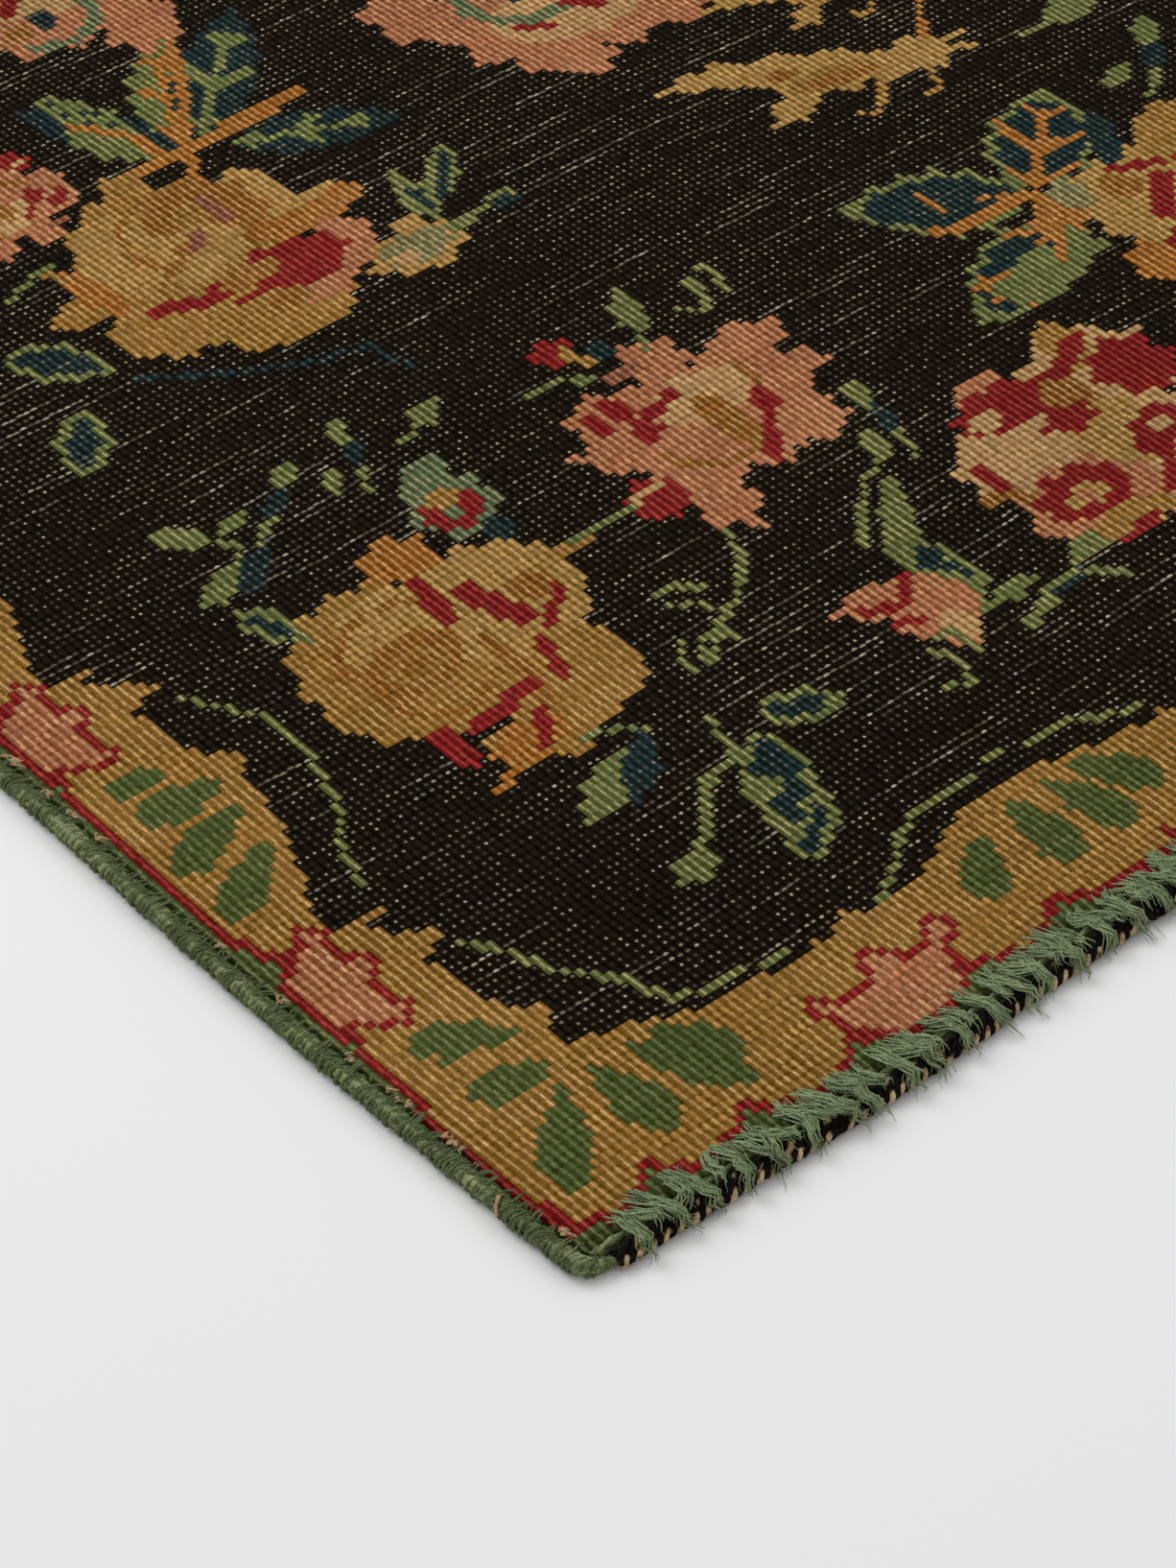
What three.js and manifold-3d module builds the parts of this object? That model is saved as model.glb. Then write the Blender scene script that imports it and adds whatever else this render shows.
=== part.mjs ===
// A small hand-knotted wool carpet, lying flat. Millimetres, +Z up.
// X runs across the carpet, along its ends; Y runs along its warps, from the near end to the far end.
// The origin is under the middle of the carpet, on the surface that it lies on.
import * as THREE from "three";
import { mergeVertices } from "three/addons/utils/BufferGeometryUtils.js";
import Module from "manifold-3d";

const wasm = await Module();
wasm.setup();

// The knot count sets the size of the cloth
const knotAcross = 3.3; // from one warp pair to the next
const knotAlong = 3.58; // from one row of knots to the next
const columns = 331;
const rows = 444;
const clothWidth = columns * knotAcross;
const clothLength = rows * knotAlong;
const clothThick = 4.2; // foundation with its worn pile
const gap = 0.35; // between pieces that touch

// How far an edge wanders out of straight: turns along the edge, swing in mm, phase in radians
const sideWaves = [
  { turns: 1.3, swing: 4.0, phase: -1.5 },
  { turns: 4.7, swing: 0.9, phase: 2.1 },
];
const endWaves = [
  { turns: 1.6, swing: 3.4, phase: -2.2 },
  { turns: 6.3, swing: 0.9, phase: 0.2 },
];
const outlineStep = { side: 30, end: 15 };

// Overcast roll of warps along each side, which hooks round the corner past the cloth
const selvedge = { width: 9, height: 7.4, step: 24, lump: 0.05, lumpEvery: 89, overhang: 7, hook: 2.6, sides: 8 };
// Two-coloured rope sewn along each end
const rope = { width: 8.4, height: 6.4, step: 11, twist: 0.06, lay: 44, inset: 5, sides: 6 };
// Turned web between cloth and rope, which the stitches are rooted in
const web = { width: 2.0, height: 6.3, step: 18, inset: 9 };
// Oversewn stitches of frayed yarn, each a flattened three-sided lock. Slant and jitter make them uneven.
const stitch = { count: 80, halfWide: 1.8, halfThick: 0.95, slant: 7.5, jitter: 5.5, sunk: 0.3 };
// Both ends of a roll: distance in from its end, and the share of its full section there
const roundEnd = [
  { along: 0, size: 0.5 },
  { along: 1.8, size: 0.82 },
  { along: 4.5, size: 0.96 },
  { along: 7.5, size: 1 },
];

// From the cloth's end to the middle of the rope
const ropeOut = gap + web.width + gap + ((1 + rope.twist) * rope.width) / 2;

const wander = (waves, along) =>
  waves.reduce((sum, w) => sum + w.swing * Math.sin(2 * Math.PI * w.turns * along + w.phase), 0);

// A point of the cloth: u across and v along, both from 0 to 1. The far and right edges are the near and left
// edges turned half round.
function clothPoint(u, v) {
  const left = -clothWidth / 2 + wander(sideWaves, v);
  const right = clothWidth / 2 - wander(sideWaves, 1 - v);
  const near = -clothLength / 2 + wander(endWaves, u);
  const far = clothLength / 2 - wander(endWaves, 1 - u);
  return new THREE.Vector2(left + (right - left) * u, near + (far - near) * v);
}

// A repeatable scatter from 0 to 1 for the stitch numbered i
function scatter(i, salt) {
  const s = Math.sin(i * 12.9898 + salt * 78.233) * 43758.5453;
  return s - Math.floor(s);
}

// Only the positions, with shared vertices merged
function bare(geometry) {
  const plain = geometry.index ? geometry.toNonIndexed() : geometry.clone();
  for (const name of Object.keys(plain.attributes)) {
    if (name !== "position") plain.deleteAttribute(name);
  }
  return mergeVertices(plain, 1e-3);
}

// A closed tube through a line of stations, with a flat side underneath: place(station, angle, reach, ring) gives
// the point at an angle from the top of a ring, with reach 0 at its middle and 1 at its rim
function tube(line, sides, place) {
  const tilt = sides % 2 === 0 ? Math.PI / sides : 0;
  const turned = new THREE.CylinderGeometry(1, 1, 1, sides, line.length - 1, false);
  const at = turned.getAttribute("position");
  for (let i = 0; i < at.count; i++) {
    const ring = Math.round((0.5 - at.getY(i)) * (line.length - 1));
    const angle = Math.atan2(at.getX(i), at.getZ(i)) + tilt;
    const reach = Math.hypot(at.getX(i), at.getZ(i));
    const p = place(line[ring], angle, reach, ring);
    at.setXYZ(i, p.x, p.y, p.z);
  }
  return bare(turned);
}

// Stations along a roll, closer together where its ends are rounded
function rollStations(length, step) {
  const rounded = roundEnd.at(-1).along;
  const straight = length - 2 * rounded;
  const steps = Math.round(straight / step);
  const middle = Array.from({ length: steps - 1 }, (_, i) => ({
    along: rounded + ((i + 1) * straight) / steps,
    size: 1,
  }));
  const lastEnd = roundEnd.map(({ along, size }) => ({ along: length - along, size })).reverse();
  return [...roundEnd, ...middle, ...lastEnd];
}

// Height of a point of a roll that has a flat foot on the floor
function rollHeight(sides, angle, reach, height) {
  const foot = Math.cos(Math.PI / sides);
  return ((reach * Math.cos(angle) + foot) * height) / (2 * foot);
}

// One flat sheet with the wandering outline
function clothGeometry() {
  const outline = [];
  const across = Math.round(clothWidth / outlineStep.end);
  const along = Math.round(clothLength / outlineStep.side);
  for (let i = 0; i < across; i++) outline.push(clothPoint(i / across, 0));
  for (let j = 0; j < along; j++) outline.push(clothPoint(1, j / along));
  for (let i = across; i > 0; i--) outline.push(clothPoint(i / across, 1));
  for (let j = along; j > 0; j--) outline.push(clothPoint(0, j / along));
  const shape = new THREE.Shape(outline);
  return bare(new THREE.ExtrudeGeometry(shape, { depth: clothThick, bevelEnabled: false }));
}

// A roll beside the left edge, flat underneath
function selvedgeGeometry() {
  const { width, height, lump, lumpEvery, overhang, hook, sides } = selvedge;
  const length = clothLength + 2 * overhang;
  const radius = width / 2;
  return tube(rollStations(length, selvedge.step), sides, ({ along, size }, angle, reach) => {
    const v = along / length;
    const swell = size * (1 + lump * Math.sin((along * 2 * Math.PI) / lumpEvery));
    const turnedIn = (hook * (1 - size)) / (1 - roundEnd[0].size);
    const edge = clothPoint(0, v);
    return new THREE.Vector3(
      edge.x - gap - radius + turnedIn - reach * Math.sin(angle) * radius * swell,
      edge.y + (v - 0.5) * 2 * overhang,
      rollHeight(sides, angle, reach, height * swell),
    );
  });
}

// A rope beside the near end, whose two strands show as an oval that turns along it
function ropeGeometry() {
  const { width, height, inset, lay, twist, sides } = rope;
  const length = clothWidth - 2 * inset;
  return tube(rollStations(length, rope.step), sides, ({ along, size }, angle, reach) => {
    const swell = size * (1 + twist * Math.cos(2 * angle - (2 * Math.PI * along) / lay));
    const edge = clothPoint((inset + along) / clothWidth, 0);
    return new THREE.Vector3(
      edge.x,
      edge.y - ropeOut + (reach * Math.sin(angle) * width * swell) / 2,
      rollHeight(sides, angle, reach, height * swell),
    );
  });
}

// The web: a narrow upright strip between the cloth and the rope
function webGeometry() {
  const steps = Math.round((clothWidth - 2 * web.inset) / web.step);
  const from = web.inset / clothWidth;
  const share = (i) => from + ((1 - 2 * from) * i) / steps;
  const line = Array.from({ length: steps + 1 }, (_, i) => clothPoint(share(i), 0));
  const strip = (out) => line.map((p) => new THREE.Vector2(p.x, p.y - out));
  const shape = new THREE.Shape([...strip(gap + web.width), ...strip(gap).reverse()]);
  return bare(new THREE.ExtrudeGeometry(shape, { depth: web.height, bevelEnabled: false }));
}

// The path of one stitch in a plane across the edge: out is the distance past the cloth's end, z the height of its
// middle, and slant the share of its slant reached there
function stitchPath(i) {
  const grip = 5 + 4.5 * scatter(i, 1); // how far in it enters the cloth
  const tail = 0.6 + 4.4 * scatter(i, 2) ** 2; // how far the frayed end lies on the floor
  const low = stitch.halfThick;
  const overRope = rope.height * (1 + rope.twist) + gap + low;
  return [
    { out: -grip, z: clothThick + gap + low, slant: -0.5 },
    { out: gap + web.width / 2, z: web.height + low - stitch.sunk, slant: -0.1 },
    { out: ropeOut - 1.5, z: overRope + 0.3, slant: 0.1 },
    { out: ropeOut + 3, z: overRope - 0.2, slant: 0.3 },
    { out: ropeOut + 6.1, z: 3.9, slant: 0.45 },
    { out: ropeOut + 6.5 + tail, z: low, slant: 0.55 },
  ];
}

function stitchGeometry(i) {
  const path = stitchPath(i);
  const along = ((i + 1) * clothWidth) / (stitch.count + 1) + stitch.jitter * (scatter(i, 3) - 0.5);
  const slant = stitch.slant * (scatter(i, 4) * 1.5 - 0.5);
  const lowCorner = Math.sin((2 * Math.PI) / 3);
  return tube(path, 3, (here, angle, reach, ring) => {
    const before = path[Math.max(0, ring - 1)];
    const after = path[Math.min(path.length - 1, ring + 1)];
    // The last section stands upright on the floor, and the others square to the path
    const upright = ring === path.length - 1;
    const rise = upright ? 0 : after.z - before.z;
    const run = upright ? 1 : after.out - before.out;
    const length = Math.hypot(rise, run);
    const wide = (reach * Math.sin(angle) * stitch.halfWide) / lowCorner;
    const thick = ((4 * reach * Math.cos(angle) - 1) * stitch.halfThick) / 3;
    const x = along + here.slant * slant + wide;
    const edge = clothPoint(x / clothWidth, 0);
    const out = here.out - (thick * rise) / length;
    return new THREE.Vector3(x - clothWidth / 2, edge.y - out, here.z + (thick * run) / length);
  });
}

function solidOf(geometry) {
  return new wasm.Manifold(
    new wasm.Mesh({
      numProp: 3,
      vertProperties: geometry.getAttribute("position").array,
      triVerts: new Uint32Array(geometry.index.array),
    }),
  );
}

function geometryOf(solid) {
  const mesh = solid.getMesh();
  return new THREE.BufferGeometry()
    .setAttribute("position", new THREE.BufferAttribute(mesh.vertProperties, mesh.numProp))
    .setIndex(new THREE.BufferAttribute(mesh.triVerts, 1));
}

// Web and stitches as one body
function whipGeometry() {
  const stitches = Array.from({ length: stitch.count }, (_, i) => solidOf(stitchGeometry(i)));
  return geometryOf(wasm.Manifold.union([solidOf(webGeometry()), ...stitches]));
}

const material = (color) => new THREE.MeshStandardMaterial({ color, roughness: 0.95, metalness: 0 });

const carpet = new THREE.Group();

const cloth = new THREE.Mesh(clothGeometry(), material(0x2a211b));
cloth.name = "carpet";
carpet.add(cloth);

// The edge pieces are made for the left side and the near end, and turned half round for the others
const edgings = [
  { name: "selvedge", ends: ["left", "right"], geometry: selvedgeGeometry(), color: 0x3f6a47 },
  { name: "end_rope", ends: ["near", "far"], geometry: ropeGeometry(), color: 0x1f1a17 },
  { name: "whip_stitch", ends: ["near", "far"], geometry: whipGeometry(), color: 0x4a7550 },
];
for (const { name, ends, geometry, color } of edgings) {
  ends.forEach((end, turn) => {
    const piece = new THREE.Mesh(geometry, material(color));
    piece.name = `${name}_${end}`;
    piece.rotation.z = turn * Math.PI;
    carpet.add(piece);
  });
}

export default carpet;
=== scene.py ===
import math

import bpy
import numpy as np
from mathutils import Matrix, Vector


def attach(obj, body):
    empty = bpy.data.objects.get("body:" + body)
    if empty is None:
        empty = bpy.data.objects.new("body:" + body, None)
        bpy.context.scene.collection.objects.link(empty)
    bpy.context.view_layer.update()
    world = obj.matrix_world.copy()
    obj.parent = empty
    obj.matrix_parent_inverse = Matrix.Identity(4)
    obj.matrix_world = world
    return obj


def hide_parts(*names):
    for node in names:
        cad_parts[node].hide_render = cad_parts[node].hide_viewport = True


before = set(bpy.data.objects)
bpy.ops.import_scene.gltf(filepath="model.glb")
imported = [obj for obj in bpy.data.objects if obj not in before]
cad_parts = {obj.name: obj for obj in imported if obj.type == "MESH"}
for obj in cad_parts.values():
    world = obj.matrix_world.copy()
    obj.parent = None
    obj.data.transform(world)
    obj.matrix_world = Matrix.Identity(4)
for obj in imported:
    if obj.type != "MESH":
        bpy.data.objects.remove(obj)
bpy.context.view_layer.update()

print("frame loaded", list(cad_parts))

mm = 0.001

# The chart: which yarn each knot of the cloth has
cloth = {
    "columns": 331,  # knots across
    "rows": 444,  # knots along
    "across": 3.3,  # mm from one warp pair to the next
    "along": 3.58,  # mm from one row of knots to the next
    "thick": 4.2,
    "tucked": 4.35,  # mm of the pile's side that the overcast roll hides in the photo
    "sideWaves": [(1.3, 4.0, -1.5), (4.7, 0.9, 2.1)],  # turns, swing in mm, phase
    "endWaves": [(1.6, 3.4, -2.2), (6.3, 0.9, 0.2)],
}
clothWidth = cloth["columns"] * cloth["across"]
clothLength = cloth["rows"] * cloth["along"]

# Yarn colours of the chart, as they show under a soft white light
yarn = {
    "ground": (27, 19, 13),
    "gold": (138, 98, 42),
    "straw": (156, 118, 64),
    "ochre": (132, 82, 28),
    "orange": (150, 90, 32),
    "tan": (170, 130, 90),
    "pink": (158, 96, 70),
    "mauve": (126, 72, 58),
    "crimson": (124, 22, 28),
    "leaf": (86, 98, 56),
    "fern": (68, 82, 42),
    "grass": (70, 86, 48),
    "teal": (19, 40, 47),
    "sage": (116, 112, 78),
    "sea": (78, 96, 72),
}
yarnNames = list(yarn)

rowCount, columnCount = cloth["rows"], cloth["columns"]
knotX = (np.arange(columnCount) + 0.5) * cloth["across"]
knotY = (np.arange(rowCount) + 0.5) * cloth["along"]
chart = np.zeros((rowCount, columnCount), np.uint8)
oneKnot = 3.4  # mm, the narrowest band of yarn
workRoom = 4  # mm of cloth looked at round a patch
toothRoom = 1.4  # how far a toothed patch may reach, in its half widths


def windowAt(x, y, reach):
    # the part of the chart round a point, with its knots' places
    low = int(max(0, (x - reach) // cloth["across"]))
    high = int(min(columnCount, (x + reach) // cloth["across"] + 1))
    near = int(max(0, (y - reach) // cloth["along"]))
    far = int(min(rowCount, (y + reach) // cloth["along"] + 1))
    area = (slice(near, max(near, far)), slice(low, max(low, high)))
    return area, *np.meshgrid(knotX[area[1]], knotY[area[0]])


def knotInto(area, mask, colour):
    chart[area][mask] = yarnNames.index(colour)


def saw(turns):
    # a triangle wave from -1 to 1
    return 2 * np.abs(2 * (turns - np.floor(turns + 0.5))) - 1


def laid(place, x, y):
    # a flower's own point, laid on the cloth
    size, turn = place["size"], math.radians(place["turn"])
    x = x * place["mirror"]
    return (
        place["x"] + size * (x * math.cos(turn) - y * math.sin(turn)),
        place["y"] + size * (x * math.sin(turn) + y * math.cos(turn)),
    )


def petal(place, colour, x, y, halfX, halfY, turn=0, teeth=0, depth=0.12):
    # a rounded patch, toothed round its rim where teeth is set
    cx, cy = laid(place, x, y)
    size = place["size"]
    angle = math.radians(place["turn"] + place["mirror"] * turn)
    area, gx, gy = windowAt(cx, cy, size * max(halfX, halfY) * toothRoom + workRoom)
    u = ((gx - cx) * math.cos(angle) + (gy - cy) * math.sin(angle)) / (halfX * size)
    v = ((gy - cy) * math.cos(angle) - (gx - cx) * math.sin(angle)) / (halfY * size)
    reach = np.hypot(u, v)
    rim = 1 + depth * saw(teeth * np.arctan2(v, u) / (2 * math.pi)) if teeth else 1
    knotInto(area, reach < rim, colour)


def stroke(place, colour, width, *points):
    # a band of yarn through some points
    at = [laid(place, *point) for point in points]
    half = max(width * place["size"], oneKnot) / 2
    for (x0, y0), (x1, y1) in zip(at, at[1:]):
        length = math.hypot(x1 - x0, y1 - y0) or 1
        area, gx, gy = windowAt((x0 + x1) / 2, (y0 + y1) / 2, length / 2 + half + workRoom)
        along = ((gx - x0) * (x1 - x0) + (gy - y0) * (y1 - y0)) / length
        along = np.clip(along, 0, length)
        away = np.hypot(gx - x0 - along * (x1 - x0) / length, gy - y0 - along * (y1 - y0) / length)
        knotInto(area, away < half, colour)


def ring(place, colour, x, y, halfX, halfY, width, start, end):
    # part of an oval line, from one angle to another
    steps = 14
    angles = [math.radians(start + (end - start) * i / steps) for i in range(steps + 1)]
    stroke(place, colour, width, *[(x + halfX * math.cos(a), y + halfY * math.sin(a)) for a in angles])


leafShape = {
    "belly": 0.85,  # under 1, the widest place lies nearer the stalk
    "fullness": 0.8,
    "tooth": 0.13,  # share of the half width that the rim's teeth stand out
    "toothEvery": 13,  # mm
    "rim": 4.5,  # mm of rim round the fill
    "fillTo": 0.86,  # share of the length
    "vein": 2.2,  # mm, half its width
    "veinTo": 0.8,
    "ribLean": 0.8,
    "ribShare": 0.3,  # of the way from one rib to the next
    "ribRim": 3,  # mm that the ribs stop short of the rim
    "ribTo": 0.85,
}


def leaf(place, rim, inside, vein, x0, y0, x1, y1, half, ribs=0):
    # a pointed leaf from its stalk to its tip: rim, a fill inside it, and a vein with side ribs
    shape = leafShape
    (x0, y0), (x1, y1) = laid(place, x0, y0), laid(place, x1, y1)
    half = half * place["size"]
    length = math.hypot(x1 - x0, y1 - y0)
    area, gx, gy = windowAt((x0 + x1) / 2, (y0 + y1) / 2, length / 2 + half)
    ux, uy = (x1 - x0) / length, (y1 - y0) / length
    t = ((gx - x0) * ux + (gy - y0) * uy) / length
    side = (gy - y0) * ux - (gx - x0) * uy
    t = np.clip(t, 0, 1)
    teeth = 1 + shape["tooth"] * saw(t * length / shape["toothEvery"])
    body = half * np.sin(math.pi * t ** shape["belly"]) ** shape["fullness"] * teeth
    side = np.abs(side)
    here = (side < body) & (t > 0) & (t < 1)
    knotInto(area, here, rim)
    if inside:
        knotInto(area, here & (side < body - shape["rim"]) & (t < shape["fillTo"]), inside)
    if vein:
        knotInto(area, here & (side < shape["vein"]) & (t < shape["veinTo"]), vein)
        if ribs:
            slant = (t * length - side * shape["ribLean"]) / (length / ribs)
            spoke = (slant - np.floor(slant)) < shape["ribShare"]
            knotInto(area, here & spoke & (side < body - shape["ribRim"]) & (t < shape["ribTo"]), vein)


# Each flower is a few patches and bands of yarn, in mm from its middle, laid from the first to the last
flowers = {
    "goldRose": [
        (petal, "gold", -17, 12, 40, 45, 0, 14, 0.05),
        (petal, "gold", -44, 1, 15, 13),
        (petal, "straw", 28, 14, 32, 34, 0, 12, 0.06),
        (petal, "straw", 46, 20, 17, 15),
        (stroke, "gold", 5, (60, 21), (75, 20)),
        (petal, "gold", 30, -32, 19, 24),
        (petal, "gold", 0, -48, 24, 16, 0, 6, 0.2),
        (petal, "orange", 14, 57, 15, 13, -12, 6, 0.15),
        (petal, "straw", -8, 28, 26, 22),
        (petal, "ochre", -17, 9, 22, 15, 10),
        (petal, "gold", -16, 8, 13, 8, 10),
        (petal, "ochre", -16, 8, 7, 4, 10),
        (ring, "ochre", -12, 12, 28, 30, 3.4, 20, 165),
        (ring, "ochre", -14, 6, 24, 26, 3.4, 200, 300),
        (stroke, "ochre", 6, (12, 4), (12, -24), (6, -36)),
        (petal, "ochre", 42, 14, 9, 7),
        (petal, "orange", -10, -47, 16, 10, 0, 5, 0.2),
        (stroke, "orange", 4, (-36, -61), (-20, -54)),
        (petal, "crimson", -33, -34, 6, 12),
        (stroke, "crimson", 8, (12, 43), (8, 20)),
        (stroke, "crimson", 11, (22, 26), (29, 4)),
        (stroke, "crimson", 5, (33, -7), (50, 6)),
        (stroke, "crimson", 6, (20, -29), (26, -12)),
        (stroke, "crimson", 8, (-20, -31), (-4, -28), (8, -26)),
        (stroke, "crimson", 5, (-8, -53), (1, -40)),
    ],
    "pinkRose": [
        (petal, "pink", 0, 2, 44, 36, 0, 11, 0.12),
        (petal, "pink", 8, 43, 14, 12, 0, 5, 0.2),
        (petal, "pink", 44, 27, 17, 12, -8, 6, 0.2),
        (petal, "pink", 46, 3, 14, 9, 8, 5, 0.2),
        (petal, "pink", 28, -24, 16, 13, 0, 6, 0.2),
        (petal, "pink", -40, 9, 16, 7, -25, 5, 0.2),
        (petal, "pink", -26, 27, 17, 14, 0, 6, 0.15),
        (petal, "pink", -28, -34, 12, 21, 5, 6, 0.2),
        (petal, "mauve", -5, 44, 9, 4),
        (petal, "tan", 8, 14, 22, 14),
        (petal, "ochre", 6, -2, 8, 18),
        (ring, "ochre", -3, 0, 24, 23, 3.4, 195, 320),
        (stroke, "ochre", 4, (30, 20), (31, 8)),
        (petal, "crimson", -34, 26, 4, 8),
        (petal, "crimson", -23, 28, 5, 8),
        (stroke, "crimson", 6, (-26, 12), (-14, 18), (0, 22)),
        (stroke, "crimson", 7, (-24, 9), (-17, 10)),
        (petal, "crimson", 25, -3, 5, 7),
        (stroke, "crimson", 6, (24, -7), (14, -18), (4, -31)),
        (petal, "crimson", -45, -21, 12, 12, 0, 6, 0.15),
        (stroke, "tan", 4, (-52, -17), (-38, -16)),
    ],
    "mixedRose": [
        (petal, "tan", -14, 6, 34, 26, 0, 10, 0.08),
        (petal, "tan", 10, -14, 40, 34, 0, 12, 0.08),
        (petal, "pink", -18, -30, 30, 24, 0, 9, 0.15),
        (petal, "tan", 36, 26, 30, 26, 0, 9, 0.15),
        (petal, "gold", 38, 46, 9, 16, -18),
        (petal, "pink", -6, 44, 12, 9, 0, 5, 0.2),
        (petal, "straw", 16, -4, 18, 22),
        (petal, "crimson", -5, 32, 24, 12, 0, 8, 0.15),
        (petal, "tan", -17, 30, 8, 6),
        (petal, "ochre", 17, 22, 10, 12),
        (petal, "crimson", 8, 11, 11, 8, 0, 5, 0.2),
        (stroke, "crimson", 8, (24, 34), (44, 46)),
        (petal, "crimson", 50, 20, 17, 18, 20, 8, 0.15),
        (petal, "crimson", 28, -14, 17, 10, 35, 6, 0.15),
        (petal, "tan", 32, -12, 6, 4, 35),
        (petal, "crimson", -40, 4, 4, 9),
        (stroke, "ochre", 6, (-52, -5), (-40, -7), (-37, -16)),
        (petal, "crimson", -19, -24, 20, 14, 0, 8, 0.12),
        (petal, "straw", -19, -26, 10, 6),
        (petal, "pink", -19, -26, 4, 3),
        (petal, "gold", -14, -46, 22, 9, 0, 6, 0.2),
        (stroke, "crimson", 6, (-26, -54), (-10, -50)),
        (stroke, "crimson", 7, (8, -42), (20, -28)),
    ],
    "broadRose": [
        (petal, "gold", -2, 16, 40, 42, 0, 12, 0.05),
        (petal, "straw", -16, 16, 24, 34),
        (petal, "straw", 46, 20, 10, 22, 0, 5, 0.1),
        (petal, "gold", -52, 4, 17, 9),
        (petal, "gold", -30, -24, 28, 22, 0, 8, 0.08),
        (petal, "gold", 4, -44, 32, 22, 0, 9, 0.08),
        (petal, "gold", 6, 56, 9, 13, 0, 5, 0.2),
        (petal, "orange", -44, 10, 6, 20, 4),
        (petal, "gold", -49, 30, 3, 9, 14),
        (petal, "ochre", 20, 22, 24, 26, 0, 8, 0.08),
        (petal, "straw", 2, 6, 22, 14),
        (petal, "gold", 16, 26, 9, 8),
        (petal, "mauve", 26, 24, 4, 11),
        (petal, "mauve", 6, 11, 9, 4, 20),
        (ring, "ochre", 4, 20, 22, 24, 3.4, 110, 230),
        (stroke, "ochre", 4, (-20, -2), (-6, 4), (0, 12)),
        (petal, "orange", 52, -3, 28, 9, 6),
        (petal, "straw", 54, 7, 18, 4, 2),
        (petal, "pink", 48, -28, 14, 20, -25, 5, 0.15),
        (petal, "pink", 24, -42, 12, 12, 0, 4, 0.2),
        (petal, "crimson", 28, -26, 22, 14, 10, 7, 0.12),
        (stroke, "crimson", 8, (-34, -14), (-16, -22), (0, -20), (20, -12)),
        (stroke, "crimson", 6, (-4, -32), (12, -32)),
        (petal, "ochre", 8, -20, 14, 7),
        (petal, "gold", 6, -58, 24, 8, 0, 6, 0.15),
        (petal, "ochre", 10, -42, 9, 7),
    ],
    "ringRose": [
        (petal, "pink", 0, 0, 52, 44, 20, 13, 0.13),
        (petal, "pink", -50, 28, 18, 24, 0, 6, 0.2),
        (petal, "pink", 36, -32, 20, 16, 0, 6, 0.2),
        (petal, "pink", -18, -38, 14, 18, 14, 5, 0.2),
        (petal, "tan", 4, -8, 36, 22),
        (ring, "sea", -4, 16, 26, 24, 7, 80, 290),
        (petal, "teal", -6, 16, 6, 9),
        (stroke, "crimson", 7, (10, 8), (6, -6), (16, -14)),
        (stroke, "crimson", 5, (-22, -8), (-10, -16)),
        (stroke, "crimson", 6, (34, -8), (46, -20)),
        (petal, "crimson", 30, 26, 9, 7),
        (petal, "ochre", 6, 26, 7, 6),
    ],
    "goldLily": [
        (petal, "straw", -30, 26, 22, 9, -18, 6, 0.25),
        (petal, "straw", -2, 6, 32, 15, -32, 8, 0.2),
        (petal, "straw", 30, -10, 30, 12, -10, 8, 0.25),
        (petal, "straw", -24, -8, 17, 7, 20, 5, 0.3),
        (petal, "gold", 2, -2, 22, 8, -8),
        (petal, "ochre", 4, -4, 17, 4, -8),
        (petal, "ochre", -14, 12, 6, 4, 0),
        (stroke, "straw", 4, (-60, 32), (-46, 32)),
        (stroke, "gold", 3, (14, -16), (4, -28), (-6, -32), (-10, -26)),
        (stroke, "gold", 3, (34, -22), (30, -34), (22, -36)),
        (stroke, "orange", 3, (50, -2), (66, 16), (76, 24)),
    ],
    "pinkTulip": [
        (leaf, "leaf", "teal", None, 16, 34, 28, -12, 9),
        (leaf, "leaf", "leaf", None, 12, 14, 44, 60, 7),
        (leaf, "leaf", "teal", None, 14, 10, 18, -22, 9),
        (petal, "pink", 0, -6, 13, 24, 10, 5, 0.15),
        (petal, "pink", -12, 10, 14, 8, -14, 5, 0.2),
        (petal, "pink", 10, -2, 10, 16, 20),
        (stroke, "crimson", 5, (-18, 8), (-4, 2), (10, 14)),
        (stroke, "crimson", 4, (-14, -4), (-4, -8)),
        (petal, "tan", 4, -20, 7, 9),
    ],
    "ringBud": [
        (petal, "sea", 0, 0, 17, 19, 0, 7, 0.12),
        (petal, "sea", 3, 20, 12, 8, 30),
        (petal, "crimson", -2, -2, 12, 11),
        (petal, "gold", -1, 5, 7, 6),
        (petal, "sea", -2, -3, 3, 5),
        (petal, "teal", 4, -22, 7, 6),
    ],
    "crimsonBud": [
        (petal, "crimson", -3, 2, 9, 10, -20, 5, 0.15),
        (petal, "gold", 1, -2, 3, 7, -10),
        (petal, "gold", 4, -10, 4, 5),
        (petal, "teal", 12, -8, 6, 5),
        (petal, "leaf", -6, -18, 5, 4),
        (stroke, "leaf", 4, (-28, -12), (-12, -12)),
    ],
    "paleBud": [
        (petal, "straw", -2, 0, 21, 14, 0, 7, 0.15),
        (petal, "sage", 0, 1, 16, 10, 0, 6, 0.15),
        (petal, "tan", -9, -2, 4, 6),
        (petal, "straw", 6, 14, 8, 6),
        (stroke, "leaf", 6, (18, 2), (50, 6)),
        (petal, "teal", 44, 2, 7, 5),
        (leaf, "leaf", "teal", None, 18, 10, 24, 48, 7),
        (leaf, "leaf", None, "teal", 26, 20, 54, 50, 7),
    ],
    "leafTrio": [
        (leaf, "leaf", "teal", "orange", 0, 14, -66, 50, 22),
        (leaf, "leaf", "teal", "orange", 4, 14, 58, 62, 22, 3),
        (leaf, "leaf", "teal", "orange", -2, -6, -74, -40, 20, 2),
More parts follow.
